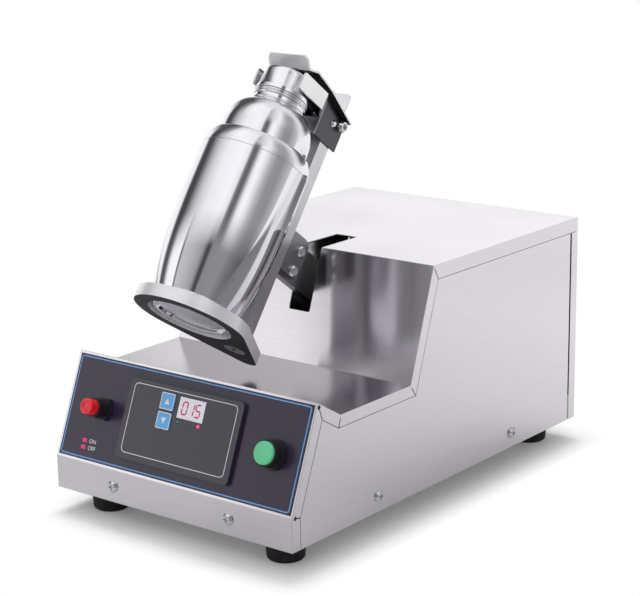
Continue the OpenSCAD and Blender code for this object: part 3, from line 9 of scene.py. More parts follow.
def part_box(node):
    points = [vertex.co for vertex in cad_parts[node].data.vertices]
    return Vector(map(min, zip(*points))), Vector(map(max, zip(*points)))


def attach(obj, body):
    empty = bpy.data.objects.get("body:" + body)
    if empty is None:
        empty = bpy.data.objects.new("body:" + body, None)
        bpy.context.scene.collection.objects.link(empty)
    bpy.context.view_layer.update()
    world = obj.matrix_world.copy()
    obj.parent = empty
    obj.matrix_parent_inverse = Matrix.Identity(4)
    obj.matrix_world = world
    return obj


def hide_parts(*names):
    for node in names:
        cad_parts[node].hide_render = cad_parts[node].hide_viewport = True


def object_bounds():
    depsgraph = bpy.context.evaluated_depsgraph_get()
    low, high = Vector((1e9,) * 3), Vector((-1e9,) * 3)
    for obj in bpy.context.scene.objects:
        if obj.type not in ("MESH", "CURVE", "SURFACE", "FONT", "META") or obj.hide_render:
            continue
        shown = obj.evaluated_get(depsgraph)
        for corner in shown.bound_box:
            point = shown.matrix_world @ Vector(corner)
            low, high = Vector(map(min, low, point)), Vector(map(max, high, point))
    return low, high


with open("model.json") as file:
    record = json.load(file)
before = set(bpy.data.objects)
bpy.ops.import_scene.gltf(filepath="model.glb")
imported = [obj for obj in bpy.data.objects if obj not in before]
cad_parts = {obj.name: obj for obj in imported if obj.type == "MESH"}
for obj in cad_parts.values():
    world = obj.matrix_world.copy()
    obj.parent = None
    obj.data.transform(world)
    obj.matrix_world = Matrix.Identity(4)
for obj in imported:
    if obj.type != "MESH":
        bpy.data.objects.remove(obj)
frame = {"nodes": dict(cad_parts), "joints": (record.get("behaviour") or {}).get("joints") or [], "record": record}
CAD_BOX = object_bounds()
NODES = frame["nodes"]
JOINTS = {joint["name"]: joint for joint in frame["joints"]}
MM = 0.001

# Camera, as the photograph was taken
CAMERA_AT = Vector((0.9292, -1.18276, 0.5404))
AZIMUTH = 38.335
ELEVATION = 14.524
ROLL = -0.782
LENS = 106.39

# Frame of the control panel: u to the right, v up the slope, h out of the panel
PANEL_IN = Vector(JOINTS["power_press"]["axis"])
PANEL_UP = Vector((0, -PANEL_IN.z, PANEL_IN.y))
OVERLAY_T = 0.5
OVERLAY_MARGIN = 2.0
overlay_low, overlay_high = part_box("control_overlay")
PANEL_AT = Vector((0, overlay_low.y, overlay_low.z)) - PANEL_UP * OVERLAY_MARGIN * MM
PANEL_AT.y += PANEL_IN.y * OVERLAY_T * MM
PANEL = Matrix((
    (1, 0, 0, PANEL_AT.x),
    (0, PANEL_UP.y, -PANEL_IN.y, PANEL_AT.y),
    (0, PANEL_UP.z, -PANEL_IN.z, PANEL_AT.z),
    (0, 0, 0, 1),
))

# Frame of the cradle: b back from the shaker's axis, s along that axis
LEAN = 36.5
LATCH_B = 62.0
LATCH_S = 201.437
cradle_turn = Matrix.Rotation(math.radians(-LEAN), 4, "X")
latch_at = Vector(JOINTS["latch_open"]["pos_m"])
CRADLE = Matrix.Translation(latch_at - cradle_turn @ Vector((0, LATCH_B, LATCH_S)) * MM) @ cradle_turn
DOWN = CRADLE.to_3x3() @ Vector((0, 0, -1))
FRONT = CRADLE.to_3x3() @ Vector((0, -1, 0))
BACK = CRADLE.to_3x3() @ Vector((0, 1, 0))


# Shader building blocks
EDGE_SAMPLES = 4
WHITE = (1, 1, 1, 1)


def grey(level):
    """A grey as a shader's colour."""
    return (level, level, level, 1)


def shader(name, **sockets):
    """A new material and its tree, with plain values set on the shader's own sockets."""
    mat = bpy.data.materials.new(name)
    mat.use_nodes = True
    bsdf = mat.node_tree.nodes["Principled BSDF"]
    for socket, value in sockets.items():
        bsdf.inputs[socket.replace("_", " ")].default_value = value
    return mat, mat.node_tree, bsdf


def add(tree, kind, inputs=None, **props):
    """A node with its properties, each input linked to a socket or set to a value."""
    node = tree.nodes.new(kind)
    for key, value in props.items():
        setattr(node, key, value)
    for key, value in (inputs or {}).items():
        if isinstance(value, bpy.types.NodeSocket):
            tree.links.new(value, node.inputs[key])
        else:
            node.inputs[key].default_value = value
    return node


def link(tree, source, node, socket):
    """Feeds a node's named socket."""
    tree.links.new(source, node.inputs[socket])


def maths(tree, operation, *inputs):
    """One step of arithmetic on numbers."""
    return add(tree, "ShaderNodeMath", dict(enumerate(inputs)), operation=operation).outputs[0]


def vector_maths(tree, operation, *inputs):
    """One step of arithmetic on vectors. A length or a dot product is a number."""
    node = add(tree, "ShaderNodeVectorMath", dict(enumerate(inputs)), operation=operation)
    return node.outputs["Value" if operation in ("LENGTH", "DOT_PRODUCT") else "Vector"]


def axes_of(tree, vector):
    """The three numbers of a vector."""
    return add(tree, "ShaderNodeSeparateXYZ", {0: vector}).outputs


def mix_colours(tree, share, first, second):
    """A blend of two colours."""
    return add(tree, "ShaderNodeMix", {0: share, 6: first, 7: second}, data_type="RGBA").outputs[2]


def noise(tree, size, stretch=(1, 1, 1), detail=2.0, turn=0.0):
    """Noise with spots of one size in metres, drawn out along an axis."""
    coords = add(tree, "ShaderNodeTexCoord").outputs["Object"]
    turned_by = (math.radians(turn), 0, 0)
    mapping = add(tree, "ShaderNodeMapping", {"Vector": coords, "Scale": stretch, "Rotation": turned_by})
    spots = {"Vector": mapping.outputs[0], "Scale": 1 / size, "Detail": detail}
    return add(tree, "ShaderNodeTexNoise", spots).outputs["Fac"]


def spread(tree, source, low, high, start=0.3, end=0.7):
    """A value, spread between two numbers."""
    ends = {"Value": source, "From Min": start, "From Max": end, "To Min": low, "To Max": high}
    return add(tree, "ShaderNodeMapRange", ends).outputs[0]


def around(tree, source, middle, swing):
    """A texture's value, spread evenly about a number."""
    return spread(tree, source, middle - swing, middle + swing)


def tint(tree, source, low, high, start=0.3, end=0.7):
    """A texture's value, as a blend of two colours."""
    ramp = add(tree, "ShaderNodeValToRGB", {"Fac": source})
    ramp.color_ramp.elements[0].position = start
    ramp.color_ramp.elements[1].position = end
    ramp.color_ramp.elements[0].color = (*low, 1)
    ramp.color_ramp.elements[1].color = (*high, 1)
    return ramp.outputs["Color"]


def shade(tone, share):
    """A darker or lighter tone of a colour."""
    return [c * share for c in tone]


def paint(tree, bsdf, colour, rough):
    """Feeds a shader's colour and roughness."""
    link(tree, colour, bsdf, "Base Color")
    link(tree, rough, bsdf, "Roughness")


def relief(tree, bsdf, height, depth, edge=0.0):
    """Fine relief on the surface, over softly rounded edges."""
    inputs = {"Height": height, "Strength": 1.0, "Distance": depth}
    if edge:
        inputs["Normal"] = add(tree, "ShaderNodeBevel", {"Radius": edge}, samples=EDGE_SAMPLES).outputs[0]
    link(tree, add(tree, "ShaderNodeBump", inputs).outputs[0], bsdf, "Normal")


# Brushed sheet, in metres: its hairlines are long and narrow, and draw the reflections out across them
GRAIN = 0.00045
GRAIN_RUN = 0.012
HAIRLINE = 2.0e-6
SHEET_PULL = 0.75
SHEET_SHADE = 0.93
SHEET_CLOUD = 0.09
SHEET_SWING = 0.03
SHEET_EDGE = 0.0007


def grain_along(tree, axis):
    """Hairlines that run along one axis."""
    stretch = [GRAIN_RUN if name == axis else 1 for name in "xyz"]
    return noise(tree, GRAIN, stretch, detail=3)


def brushed_steel(name, tone, rough):
    """Sheet steel with hairlines that run level on every face."""
    mat, tree, bsdf = shader(name, Metallic=1.0, Anisotropic=SHEET_PULL)
    normal = add(tree, "ShaderNodeNewGeometry").outputs["Normal"]
    sides = maths(tree, "ABSOLUTE", axes_of(tree, normal)["X"])
    grains = {0: sides, 2: grain_along(tree, "x"), 3: grain_along(tree, "y")}
    grain = add(tree, "ShaderNodeMix", grains).outputs[0]
    runs = {0: sides, 4: (1, 0, 0), 5: (0, 1, 0)}
    line = add(tree, "ShaderNodeMix", runs, data_type="VECTOR").outputs[1]
    link(tree, vector_maths(tree, "CROSS_PRODUCT", normal, line), bsdf, "Tangent")
    colour = tint(tree, grain, shade(tone, SHEET_SHADE), tone)
    paint(tree, bsdf, colour, around(tree, noise(tree, SHEET_CLOUD, detail=3), rough, SHEET_SWING))
    relief(tree, bsdf, grain, HAIRLINE, SHEET_EDGE)
    return mat


# Turned and polished steel, in metres
RING = 0.0008
RING_RUN = 0.02
SMEAR = 0.035
SMEAR_SHADE = 0.95
SMEAR_ROUGH = 0.04
TURNED_EDGE = 0.0003


def polished_steel(name, tone, rough, ring_depth):
    """Bright turned steel: faint rings round the axis, and light smears."""
    mat, tree, bsdf = shader(name, Metallic=1.0)
    rings = noise(tree, RING, (RING_RUN, RING_RUN, 1), turn=LEAN)
    smear = noise(tree, SMEAR, detail=3)
    colour = tint(tree, smear, shade(tone, SMEAR_SHADE), tone)
    paint(tree, bsdf, colour, spread(tree, smear, rough, rough + SMEAR_ROUGH))
    relief(tree, bsdf, rings, ring_depth, TURNED_EDGE)
    return mat


# Milled or blasted steel, in metres
TOOTH = 0.0005
TOOTH_DEPTH = 1.5e-6
TOOTH_SWING = 0.05
SATIN_CLOUD = 0.03
SATIN_SHADE = 0.88


def satin_steel(name, tone, rough, edge=0.0, metal=1.0):
    """Milled or blasted steel with a fine even tooth."""
    mat, tree, bsdf = shader(name, Metallic=metal)
    tooth = noise(tree, TOOTH)
    colour = tint(tree, noise(tree, SATIN_CLOUD, detail=3), shade(tone, SATIN_SHADE), tone)
    paint(tree, bsdf, colour, around(tree, tooth, rough, TOOTH_SWING))
    relief(tree, bsdf, tooth, TOOTH_DEPTH, edge)
    return mat


# Painted shade and painted light on bright steel, with a duller roughness: by the cosine of a face's turn, and by
# the way back in metres
FACING_SHADE_FROM = (0.9, 0.96)
DULL_ROUGH = 0.6
FORK_BEND = 0.0335
EAR_SHADE_RUN = 0.003


def blend_socket(tree, bsdf, socket, share, value):
    """Blends what feeds a shader's socket with a fixed colour."""
    fed_from = bsdf.inputs[socket].links[0].from_socket
    link(tree, mix_colours(tree, share, fed_from, value), bsdf, socket)


def shade_and_dull_facing(mat, way, tone, rough=DULL_ROUGH):
    """Gives those faces of a material that look one way a fixed tone and leaves them dull: painted shade where the
    tone is darker, painted light where it is lighter.
    """
    tree = mat.node_tree
    bsdf = tree.nodes["Principled BSDF"]
    normal = add(tree, "ShaderNodeTexCoord").outputs["Normal"]
    share = spread(tree, vector_maths(tree, "DOT_PRODUCT", normal, way), 0.0, 1.0, *FACING_SHADE_FROM)
    # This colour blend is painted shade on faces given a darker tone, and painted light on faces given a lighter
    # one.
    blend_socket(tree, bsdf, "Base Color", share, (*tone, 1))
    blend_socket(tree, bsdf, "Roughness", share, grey(rough))
    return mat


def ears_painted_dark(mat, tone):
    """Paints the fork's ears dark from its bends backward: a painted dark reflection and shade on the same bright
    steel as its cheeks.
    """
    tree = mat.node_tree
    place = add(tree, "ShaderNodeTexCoord").outputs["Object"]
    start = (CRADLE @ Vector((0, FORK_BEND, 0))).dot(BACK)
    share = spread(tree, vector_maths(tree, "DOT_PRODUCT", place, BACK), 0.0, 1.0, start, start + EAR_SHADE_RUN)
    # Painted shade: the ears' colour is darkened, and their steel is the same as the cheeks'.
    blend_socket(tree, tree.nodes["Principled BSDF"], "Base Color", share, (*tone, 1))
    return mat


# Moulded plastic, in metres
MOULD_TOOTH = 0.0004
MOULD_DEPTH = 5.0e-6
MOULD_SWING = 0.06
MOULD_CLOUD = 0.012
MOULD_SHADE = 0.9
MOULD_EDGE = 0.0003
MOULD_COAT_ROUGH = 0.08


def moulded_plastic(name, tone, rough, coat=0.0):
    """Moulded plastic with a fine texture and slight shade changes."""
    mat, tree, bsdf = shader(name, Coat_Weight=coat, Coat_Roughness=MOULD_COAT_ROUGH)
    tooth = noise(tree, MOULD_TOOTH)
    colour = tint(tree, noise(tree, MOULD_CLOUD), shade(tone, MOULD_SHADE), tone)
    paint(tree, bsdf, colour, around(tree, tooth, rough, MOULD_SWING))
    relief(tree, bsdf, tooth, MOULD_DEPTH, MOULD_EDGE)
    return mat


# Rubber, in metres
DUST = 0.006
DUST_SHADE = 2.2
DUST_FROM = (0.45, 0.8)
RUBBER_TOOTH = 0.0009
RUBBER_DEPTH = 4.0e-5
RUBBER_ROUGH = (0.55, 0.8)
RUBBER_EDGE = 0.0008
RUBBER_GLOSS = 0.3


def rubber(name, tone):
    """Dark rubber with dust in its tooth."""
    mat, tree, bsdf = shader(name, Specular_IOR_Level=RUBBER_GLOSS)
    tooth = noise(tree, RUBBER_TOOTH, detail=3)
    colour = tint(tree, noise(tree, DUST, detail=4), tone, shade(tone, DUST_SHADE), *DUST_FROM)
    paint(tree, bsdf, colour, spread(tree, tooth, *RUBBER_ROUGH))
    relief(tree, bsdf, tooth, RUBBER_DEPTH, RUBBER_EDGE)
    return mat


# Printed film, in metres
FROST = 0.0003
FROST_SWING = 0.05
FILM_WAVE = 0.05
FILM_SHADE = 0.85
FILM_DEPTH = 1.5e-4
FILM_COAT = 0.4
FILM_COAT_ROUGH = 0.2


def film(name, tone, rough):
    """Printed polyester film: a low wave and a fine frosted face."""
    mat, tree, bsdf = shader(name, Coat_Weight=FILM_COAT, Coat_Roughness=FILM_COAT_ROUGH)
    wave = noise(tree, FILM_WAVE, detail=1)
    colour = tint(tree, wave, shade(tone, FILM_SHADE), tone)
    paint(tree, bsdf, colour, around(tree, noise(tree, FROST), rough, FROST_SWING))
    relief(tree, bsdf, wave, FILM_DEPTH)
    return mat


# Ink, in metres
INK_SPOT = 0.0015
INK_SHADE = 0.9
INK_ROUGH = 0.4
INK_SWING = 0.08


def ink(name, tone):
    """Screen-printed ink with a slightly uneven coat."""
    mat, tree, bsdf = shader(name)
    coat = noise(tree, INK_SPOT, detail=3)
    colour = tint(tree, coat, shade(tone, INK_SHADE), tone)
    paint(tree, bsdf, colour, around(tree, coat, INK_ROUGH, INK_SWING))
    return mat


# Lamp lenses, in metres
LENS_CLOUD = 0.0012
LENS_SHADE = 0.8
LENS_ROUGH = (0.12, 0.25)
LENS_CLEAR = 0.25
LENS_IOR = 1.49


def lens(name, tone, light):
    """Tinted lamp lens with a faint light in it."""
    mat, tree, bsdf = shader(name, Transmission_Weight=LENS_CLEAR, IOR=LENS_IOR, Emission_Strength=light)
    cloud = noise(tree, LENS_CLOUD)
    colour = tint(tree, cloud, shade(tone, LENS_SHADE), tone)
    paint(tree, bsdf, colour, spread(tree, cloud, *LENS_ROUGH))
    link(tree, colour, bsdf, "Emission Color")
    return mat


# Looks by the record's material slot
SLOT_LOOKS = {
    "cabinet_steel": brushed_steel("cabinet_steel", (0.795, 0.767, 0.805), 0.16),
    "rubber": rubber("rubber_black", (0.012, 0.012, 0.013)),
    "screw_steel": polished_steel("screw_steel", (0.75, 0.75, 0.77), 0.14, 4.0e-6),
    "overlay_film": film("overlay_film", (0.022, 0.013, 0.040), 0.34),
    "timer_plastic": moulded_plastic("timer_plastic", (0.030, 0.025, 0.041), 0.3, coat=0.5),
    "display_plastic": moulded_plastic("display_plastic", (0.88, 0.86, 0.96), 0.25, coat=0.6),
    "green_lens": lens("green_lens", (0.05, 0.30, 0.20), 0.1),
    "red_lens": lens("red_lens", (0.80, 0.10, 0.30), 0.5),
    "key_blue": film("key_blue", (0.11, 0.43, 0.88), 0.32),
    "board": moulded_plastic("board_green", (0.03, 0.14, 0.05), 0.35),
    "button_red": moulded_plastic("button_red", (0.84, 0.02, 0.03), 0.3, coat=0.25),
    "button_green": moulded_plastic("button_green", (0.13, 0.62, 0.32), 0.32, coat=0.3),
    "black_plastic": moulded_plastic("black_plastic", (0.014, 0.014, 0.016), 0.38),
    "motor_paint": moulded_plastic("motor_paint", (0.06, 0.065, 0.075), 0.4),
    "cast_alloy": satin_steel("cast_alloy", (0.56, 0.57, 0.59), 0.5, edge=0.0008),
    "drive_steel": satin_steel("drive_steel", (0.52, 0.52, 0.54), 0.32, edge=0.0005),
    "cradle_steel": satin_steel("cradle_steel", (0.74, 0.73, 0.77), 0.25),
    "spring_steel": satin_steel("spring_steel", (0.45, 0.45, 0.47), 0.25),
    "shaker_steel": polished_steel("shaker_steel", (0.86, 0.85, 0.90), 0.03, 6.0e-7),
}
# The shaker's downward faces get a slightly lighter tone, which is painted light from below, and a rougher
# surface.
shade_and_dull_facing(SLOT_LOOKS["shaker_steel"], DOWN, (0.88, 0.87, 0.92), 0.42)

INK_BLUE = ink("ink_blue", (0.16, 0.38, 0.78))
INK_WHITE = ink("ink_white", (0.80, 0.80, 0.82))
INK_PINK = ink("ink_pink", (0.75, 0.06, 0.22))
DIGIT_RED = ink("digit_red", (0.62, 0.05, 0.12))

# Looks of the cradle's parts: copies of one satin steel, made lighter or darker part by part as painted light and
# shade
BASE_STEEL = satin_steel("cradle_base", (0.92, 0.91, 0.94), 0.36, metal=0.6)
SPINE_STEEL = satin_steel("cradle_spine", (0.68, 0.67, 0.70), 0.24)
FORK_STEEL = satin_steel("cradle_fork", (0.97, 0.96, 0.98), 0.32)
STRAP_STEEL = satin_steel("cradle_strap", (0.96, 0.95, 0.98), 0.42, metal=0.6)
# The lug plate and swing arm are painted darkest of the cradle steel, as painted shade.
LUG_STEEL = satin_steel("cradle_lug", (0.36, 0.355, 0.37), 0.3)
NODE_LOOKS = {
    # The base plate's downward faces are painted near black, which is painted shade.
    "base_plate": shade_and_dull_facing(BASE_STEEL, DOWN, (0.045, 0.045, 0.05)),
    # The spine's faces toward the front are painted a lighter tone, which is painted light.
    "spine": shade_and_dull_facing(SPINE_STEEL, FRONT, (0.75, 0.74, 0.78)),
    # The fork's ears are painted dark, as a painted dark reflection.
    "fork_bracket": ears_painted_dark(FORK_STEEL, (0.105, 0.10, 0.115)),
    # The strap's downward faces are painted near black, which is painted shade.
    "latch_strap": shade_and_dull_facing(STRAP_STEEL, DOWN, (0.03, 0.03, 0.034)),
    "lug_plate": LUG_STEEL,
    "swing_arm": LUG_STEEL,
}

for part in frame["record"]["subparts"]:
    materials = NODES[part["node"]].data.materials
    materials.clear()
    materials.append(NODE_LOOKS.get(part["node"], SLOT_LOOKS[part["material_slot"]]))


# Outlines and solids for the added pieces, in millimetres
CORNER_SHARE = 0.45


def arc(centre, radius, start, end, steps=8):
    """Points along part of a circle."""
    turns = [math.radians(start + (end - start) * i / steps) for i in range(steps + 1)]
    return [(centre[0] + radius * math.cos(a), centre[1] + radius * math.sin(a)) for a in turns]


def round_rect(low, high, radius):
    """A rectangle with round corners, as points in turn."""
    (u0, v0), (u1, v1) = low, high
    corners = [((u1, v0), 270, -1, 1), ((u1, v1), 0, -1, -1), ((u0, v1), 90, 1, -1), ((u0, v0), 180, 1, 1)]
    points = []
    for (u, v), start, du, dv in corners:
        points += arc((u + du * radius, v + dv * radius), radius, start, start + 90)
    return points


def rounded(points, radius, steps=5):
    """An open outline with its inner corners rounded, each as far as its sides allow."""
    path = [Vector(p) for p in points]
    out = [path[0]]
    for before, corner, after in zip(path, path[1:], path[2:]):
        a, b = before - corner, after - corner
        reach = min(radius, a.length * CORNER_SHARE, b.length * CORNER_SHARE)
        start, end = corner + a.normalized() * reach, corner + b.normalized() * reach
        for i in range(steps + 1):
            k = i / steps
            out.append(start * (1 - k) ** 2 + corner * 2 * k * (1 - k) + end * k * k)
    return out + [path[-1]]


def piece(name, shape, place, look, body, sharp=30):
    """A mesh piece, given in millimetres in its own frame, that rides on a body."""
    verts, faces = shape
    mesh = bpy.data.meshes.new(name)
    mesh.from_pydata([place @ (Vector(v) * MM) for v in verts], [], faces)
    mesh.materials.append(look)
    mesh.update()
    mesh.shade_smooth()
    mesh.set_sharp_from_angle(angle=math.radians(sharp))
    obj = bpy.data.objects.new(name, mesh)
    bpy.context.scene.collection.objects.link(obj)
    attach(obj, body)
    return obj


def plate_mesh(outer, low, high, inner=None):
    """A flat plate between two levels, with one opening if inner is given."""
    n = len(outer)
    rings = [outer] if inner is None else [outer, inner]
    verts = [(u, v, h) for ring in rings for h in (low, high) for u, v in ring]
    faces = []
    for r in range(len(rings)):
        base = 2 * n * r
        for i in range(n):
            j = (i + 1) % n
            wall = (base + i, base + j, base + n + j, base + n + i)
            faces.append(wall if r == 0 else wall[::-1])
    if inner is None:
        return verts, faces + [tuple(range(n, 2 * n)), tuple(range(n - 1, -1, -1))]
    for i in range(n):
        j = (i + 1) % n
        faces.append((n + i, n + j, 3 * n + j, 3 * n + i))
        faces.append((j, i, 2 * n + i, 2 * n + j))
    return verts, faces


def join_meshes(parts):
    """Several meshes as one list of points and one list of faces."""
    verts, faces = [], []
    for part_verts, part_faces in parts:
        faces += [tuple(i + len(verts) for i in face) for face in part_faces]
        verts += part_verts
    return verts, faces


def lathe_mesh(profile, segments):
    """A closed profile of (radius, height) points, turned about its axis. A point on the axis stays one."""
    verts, rings = [], []
    for r, h in profile:
        count = segments if r > 0 else 1
        rings.append([len(verts) + k % count for k in range(segments + 1)])
        turns = [2 * math.pi * k / segments for k in range(count)]
        verts += [(r * math.cos(a), r * math.sin(a), h) for a in turns]
    faces = []
    for ring, upper in zip(rings, rings[1:] + rings[:1]):
        for k in range(segments):
            corners = dict.fromkeys((ring[k], ring[k + 1], upper[k + 1], upper[k]))
            if len(corners) > 2:
                faces.append(tuple(corners))
    return verts, faces


def tube_mesh(path, radius, sides):
    """A tube of even thickness along a path, closed at both ends."""
    path = [Vector(p) for p in path]
    n = len(path)
    verts = []
    for i, p in enumerate(path):
        along = (path[min(i + 1, n - 1)] - path[max(i - 1, 0)]).normalized()
        side = (Vector((1, 0, 0)) - along * along.x).normalized()
        up = along.cross(side)
        for k in range(sides):
            a = 2 * math.pi * k / sides
            verts.append(p + (side * math.cos(a) + up * math.sin(a)) * radius)
    faces = []
    for i in range(n - 1):
        for k in range(sides):
            m = (k + 1) % sides
            faces.append((i * sides + k, i * sides + m, (i + 1) * sides + m, (i + 1) * sides + k))
    faces.append(tuple(range(sides - 1, -1, -1)))
    faces.append(tuple(range((n - 1) * sides, n * sides)))
    return verts, faces


# Lines printed round the panel and round the timer
INK_T = 0.12
OVERLAY_U = (overlay_high.x - overlay_low.x) / MM / 2
OVERLAY_RISE = (overlay_high.z - overlay_low.z) / MM
OVERLAY_TOP = OVERLAY_MARGIN + (OVERLAY_RISE + OVERLAY_T * PANEL_IN.z) / PANEL_UP.z
BORDER_IN = 1.4
BORDER_LOW = (BORDER_IN - OVERLAY_U, OVERLAY_MARGIN + BORDER_IN)
BORDER_HIGH = (OVERLAY_U - BORDER_IN, OVERLAY_TOP - BORDER_IN)
BORDER_CORNER = 2.5
BORDER_W = 0.9
TIMER_FACE = 3.5
TIMER_LOW = (-52.4, 15.8)
TIMER_HIGH = (52.4, 70.8)
TIMER_CORNER = 4.0
TIMER_LINE = 0.55
INNER_CORNER = 0.9


def frame_line(name, low, high, corner, width, level, look, body="cabinet"):
    """A printed line round a rectangle."""
    inner_low = (low[0] + width, low[1] + width)
    inner_high = (high[0] - width, high[1] - width)
    inner = round_rect(inner_low, inner_high, corner - width * INNER_CORNER)
    line = plate_mesh(round_rect(low, high, corner), level, level + INK_T, inner)
    piece(name, line, PANEL, look, body)


frame_line("panel_border", BORDER_LOW, BORDER_HIGH, BORDER_CORNER, BORDER_W, OVERLAY_T, INK_BLUE)
frame_line("timer_outline", TIMER_LOW, TIMER_HIGH, TIMER_CORNER, TIMER_LINE, TIMER_FACE, INK_WHITE)

# Up and down keys: a pale edge line and a triangle on each
KEY_U = -15.8
KEY_HALF = (6.7, 6.5)
KEY_CORNER = 1.2
KEY_LINE = 0.7
KEY_FACE = TIMER_FACE + 1.0
TRIANGLE = (2.6, 2.4)


def key_print(way, v, sign, body):
    """The print on one key, whose triangle points up for sign 1 and down for -1."""
    low = (KEY_U - KEY_HALF[0], v - KEY_HALF[1])
    high = (KEY_U + KEY_HALF[0], v + KEY_HALF[1])
    frame_line(way + "_key_edge", low, high, KEY_CORNER, KEY_LINE, KEY_FACE, INK_WHITE, body)
    foot, tip = v - sign * TRIANGLE[1], v + sign * TRIANGLE[1]
    outline = [(KEY_U - TRIANGLE[0], foot), (KEY_U + TRIANGLE[0], foot), (KEY_U, tip)][::sign]
    triangle = plate_mesh(outline, KEY_FACE, KEY_FACE + INK_T)
    piece(way + "_triangle", triangle, PANEL, INK_WHITE, body)


key_print("up", v=61.8, sign=1, body="up_push")
key_print("down", v=46.8, sign=-1, body="down_push")

# Digits on the display, of seven bars each
DISPLAY_FACE = TIMER_FACE - 0.4
DISPLAY_MID = (8.0, 59.5)
DISPLAY_TEXT = "015"
DIGIT_W = 4.6
DIGIT_H = 9.6
DIGIT_STEP = 6.6
DIGIT_SLANT = 0.09
BAR_W = 1.15
BAR_GAP = 0.18
BARS = {"0": "abcdef", "1": "bc", "5": "acdfg"}


def bar_outline(level, centre, length):
    """One bar of a digit, level or upright, pointed at both ends."""
    half, tip = BAR_W / 2, length / 2
    lower = [(-tip, 0), (half - tip, -half), (tip - half, -half)]
    upper = [(tip, 0), (tip - half, half), (half - tip, half)]
    points = lower + upper if level else [(-y, x) for x, y in lower + upper]
    return [(centre[0] + x + DIGIT_SLANT * (centre[1] + y), centre[1] + y) for x, y in points]


def digit_bars(digit, middle):
    """The outlines of the bars that a digit lights."""
    w, h = DIGIT_W / 2, DIGIT_H / 2
    level_bars = {"a": (0, h), "g": (0, 0), "d": (0, -h)}
    upright_bars = {"b": (w, h / 2), "c": (w, -h / 2), "e": (-w, -h / 2), "f": (-w, h / 2)}
    for bar in BARS[digit]:
        if bar in level_bars:
            outline = bar_outline(True, level_bars[bar], DIGIT_W - BAR_GAP * 2)
        else:
            outline = bar_outline(False, upright_bars[bar], h - BAR_GAP * 2)
        yield [(middle[0] + x, middle[1] + y) for x, y in outline]


def display_digits():
    """All the digits as one print on the display."""
    bars = []
    for i, digit in enumerate(DISPLAY_TEXT):
        middle = (DISPLAY_MID[0] + (i - 1) * DIGIT_STEP, DISPLAY_MID[1])
        bars += [plate_mesh(bar, DISPLAY_FACE, DISPLAY_FACE + INK_T) for bar in digit_bars(digit, middle)]
    piece("display_digits", join_meshes(bars), PANEL, DIGIT_RED, "cabinet")


display_digits()

# State marks under the power button
MARK_U = -94.0
MARK_HALF = (2.4, 1.6)
MARK_CORNER = 0.5
WORD_U = -89.0
WORD_H = 4.6


def state_mark(word, v):
    """A small block of colour with its word beside it."""
    low = (MARK_U - MARK_HALF[0], v - MARK_HALF[1])
    high = (MARK_U + MARK_HALF[0], v + MARK_HALF[1])
    mark = plate_mesh(round_rect(low, high, MARK_CORNER), OVERLAY_T, OVERLAY_T + INK_T)
    piece(word.lower() + "_mark", mark, PANEL, INK_PINK, "cabinet")
    text = bpy.data.curves.new(word.lower() + "_word", "FONT")
    text.body = word
    text.size = WORD_H * MM
    text.align_y = "CENTER"
    text.extrude = INK_T / 2 * MM
    text.materials.append(INK_WHITE)
    obj = bpy.data.objects.new(word.lower() + "_word", text)
    bpy.context.scene.collection.objects.link(obj)
    obj.matrix_world = PANEL @ Matrix.Translation(Vector((WORD_U, v, OVERLAY_T + INK_T / 2)) * MM)
    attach(obj, "cabinet")


state_mark("ON", v=17.0)
state_mark("OFF", v=11.5)

# Push buttons, with a rounded edge and a dished face
STEM_R = 4.0
STEM_FOOT = -8.8
CAP_FOOT = 4.2
DISH_RIM = 0.72
DISH_FLOOR = 0.55
BUTTON_ROUND = 0.13
BUTTON_SEGMENTS = 64
BUTTON_SHARP = 40


def button_cap(node, at, r, top, dish, body, slot):
    """A button's cap on its stem. The corner between them stays square, clear of the collar."""
    low = top - dish
    stem = [(0, STEM_FOOT), (STEM_R, STEM_FOOT)]
    head = [(STEM_R, CAP_FOOT), (r, CAP_FOOT), (r, top)]
    head += [(r * DISH_RIM, top), (r * DISH_FLOOR, low), (0, low)]
    shape = lathe_mesh(stem + [tuple(p) for p in rounded(head, r * BUTTON_ROUND)], BUTTON_SEGMENTS)
    place = PANEL @ Matrix.Translation(Vector((*at, 0)) * MM)
    cap = piece(node + "_cap", shape, place, SLOT_LOOKS[slot], body, BUTTON_SHARP)
    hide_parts(node)


POWER_BUTTON = {"at": (-81.0, 44.0), "r": 6.2, "top": 22.0, "dish": 1.1}
START_BUTTON = {"at": (92.0, 42.0), "r": 8.8, "top": 14.5, "dish": 0.25}
button_cap("power_button", body="power_push", slot="button_red", **POWER_BUTTON)
button_cap("start_button", body="start_push", slot="button_green", **START_BUTTON)

# Shaker: sizes of the body
FOOT_R = 30.4
BELLY_R = 43.5
FOOT_S = 2.0
RIM_S = 132.8
BELLY_POWER = 3.5
WALL = 0.9
FOOT_SUNK = 3.0
FOOT_SLOPE = (4.0, 2.5)
FOOT_EDGE = 0.4
FOOT_ROUND = 0.8
HEEL_R = FOOT_R - 2.0
HEEL_H = 2.5

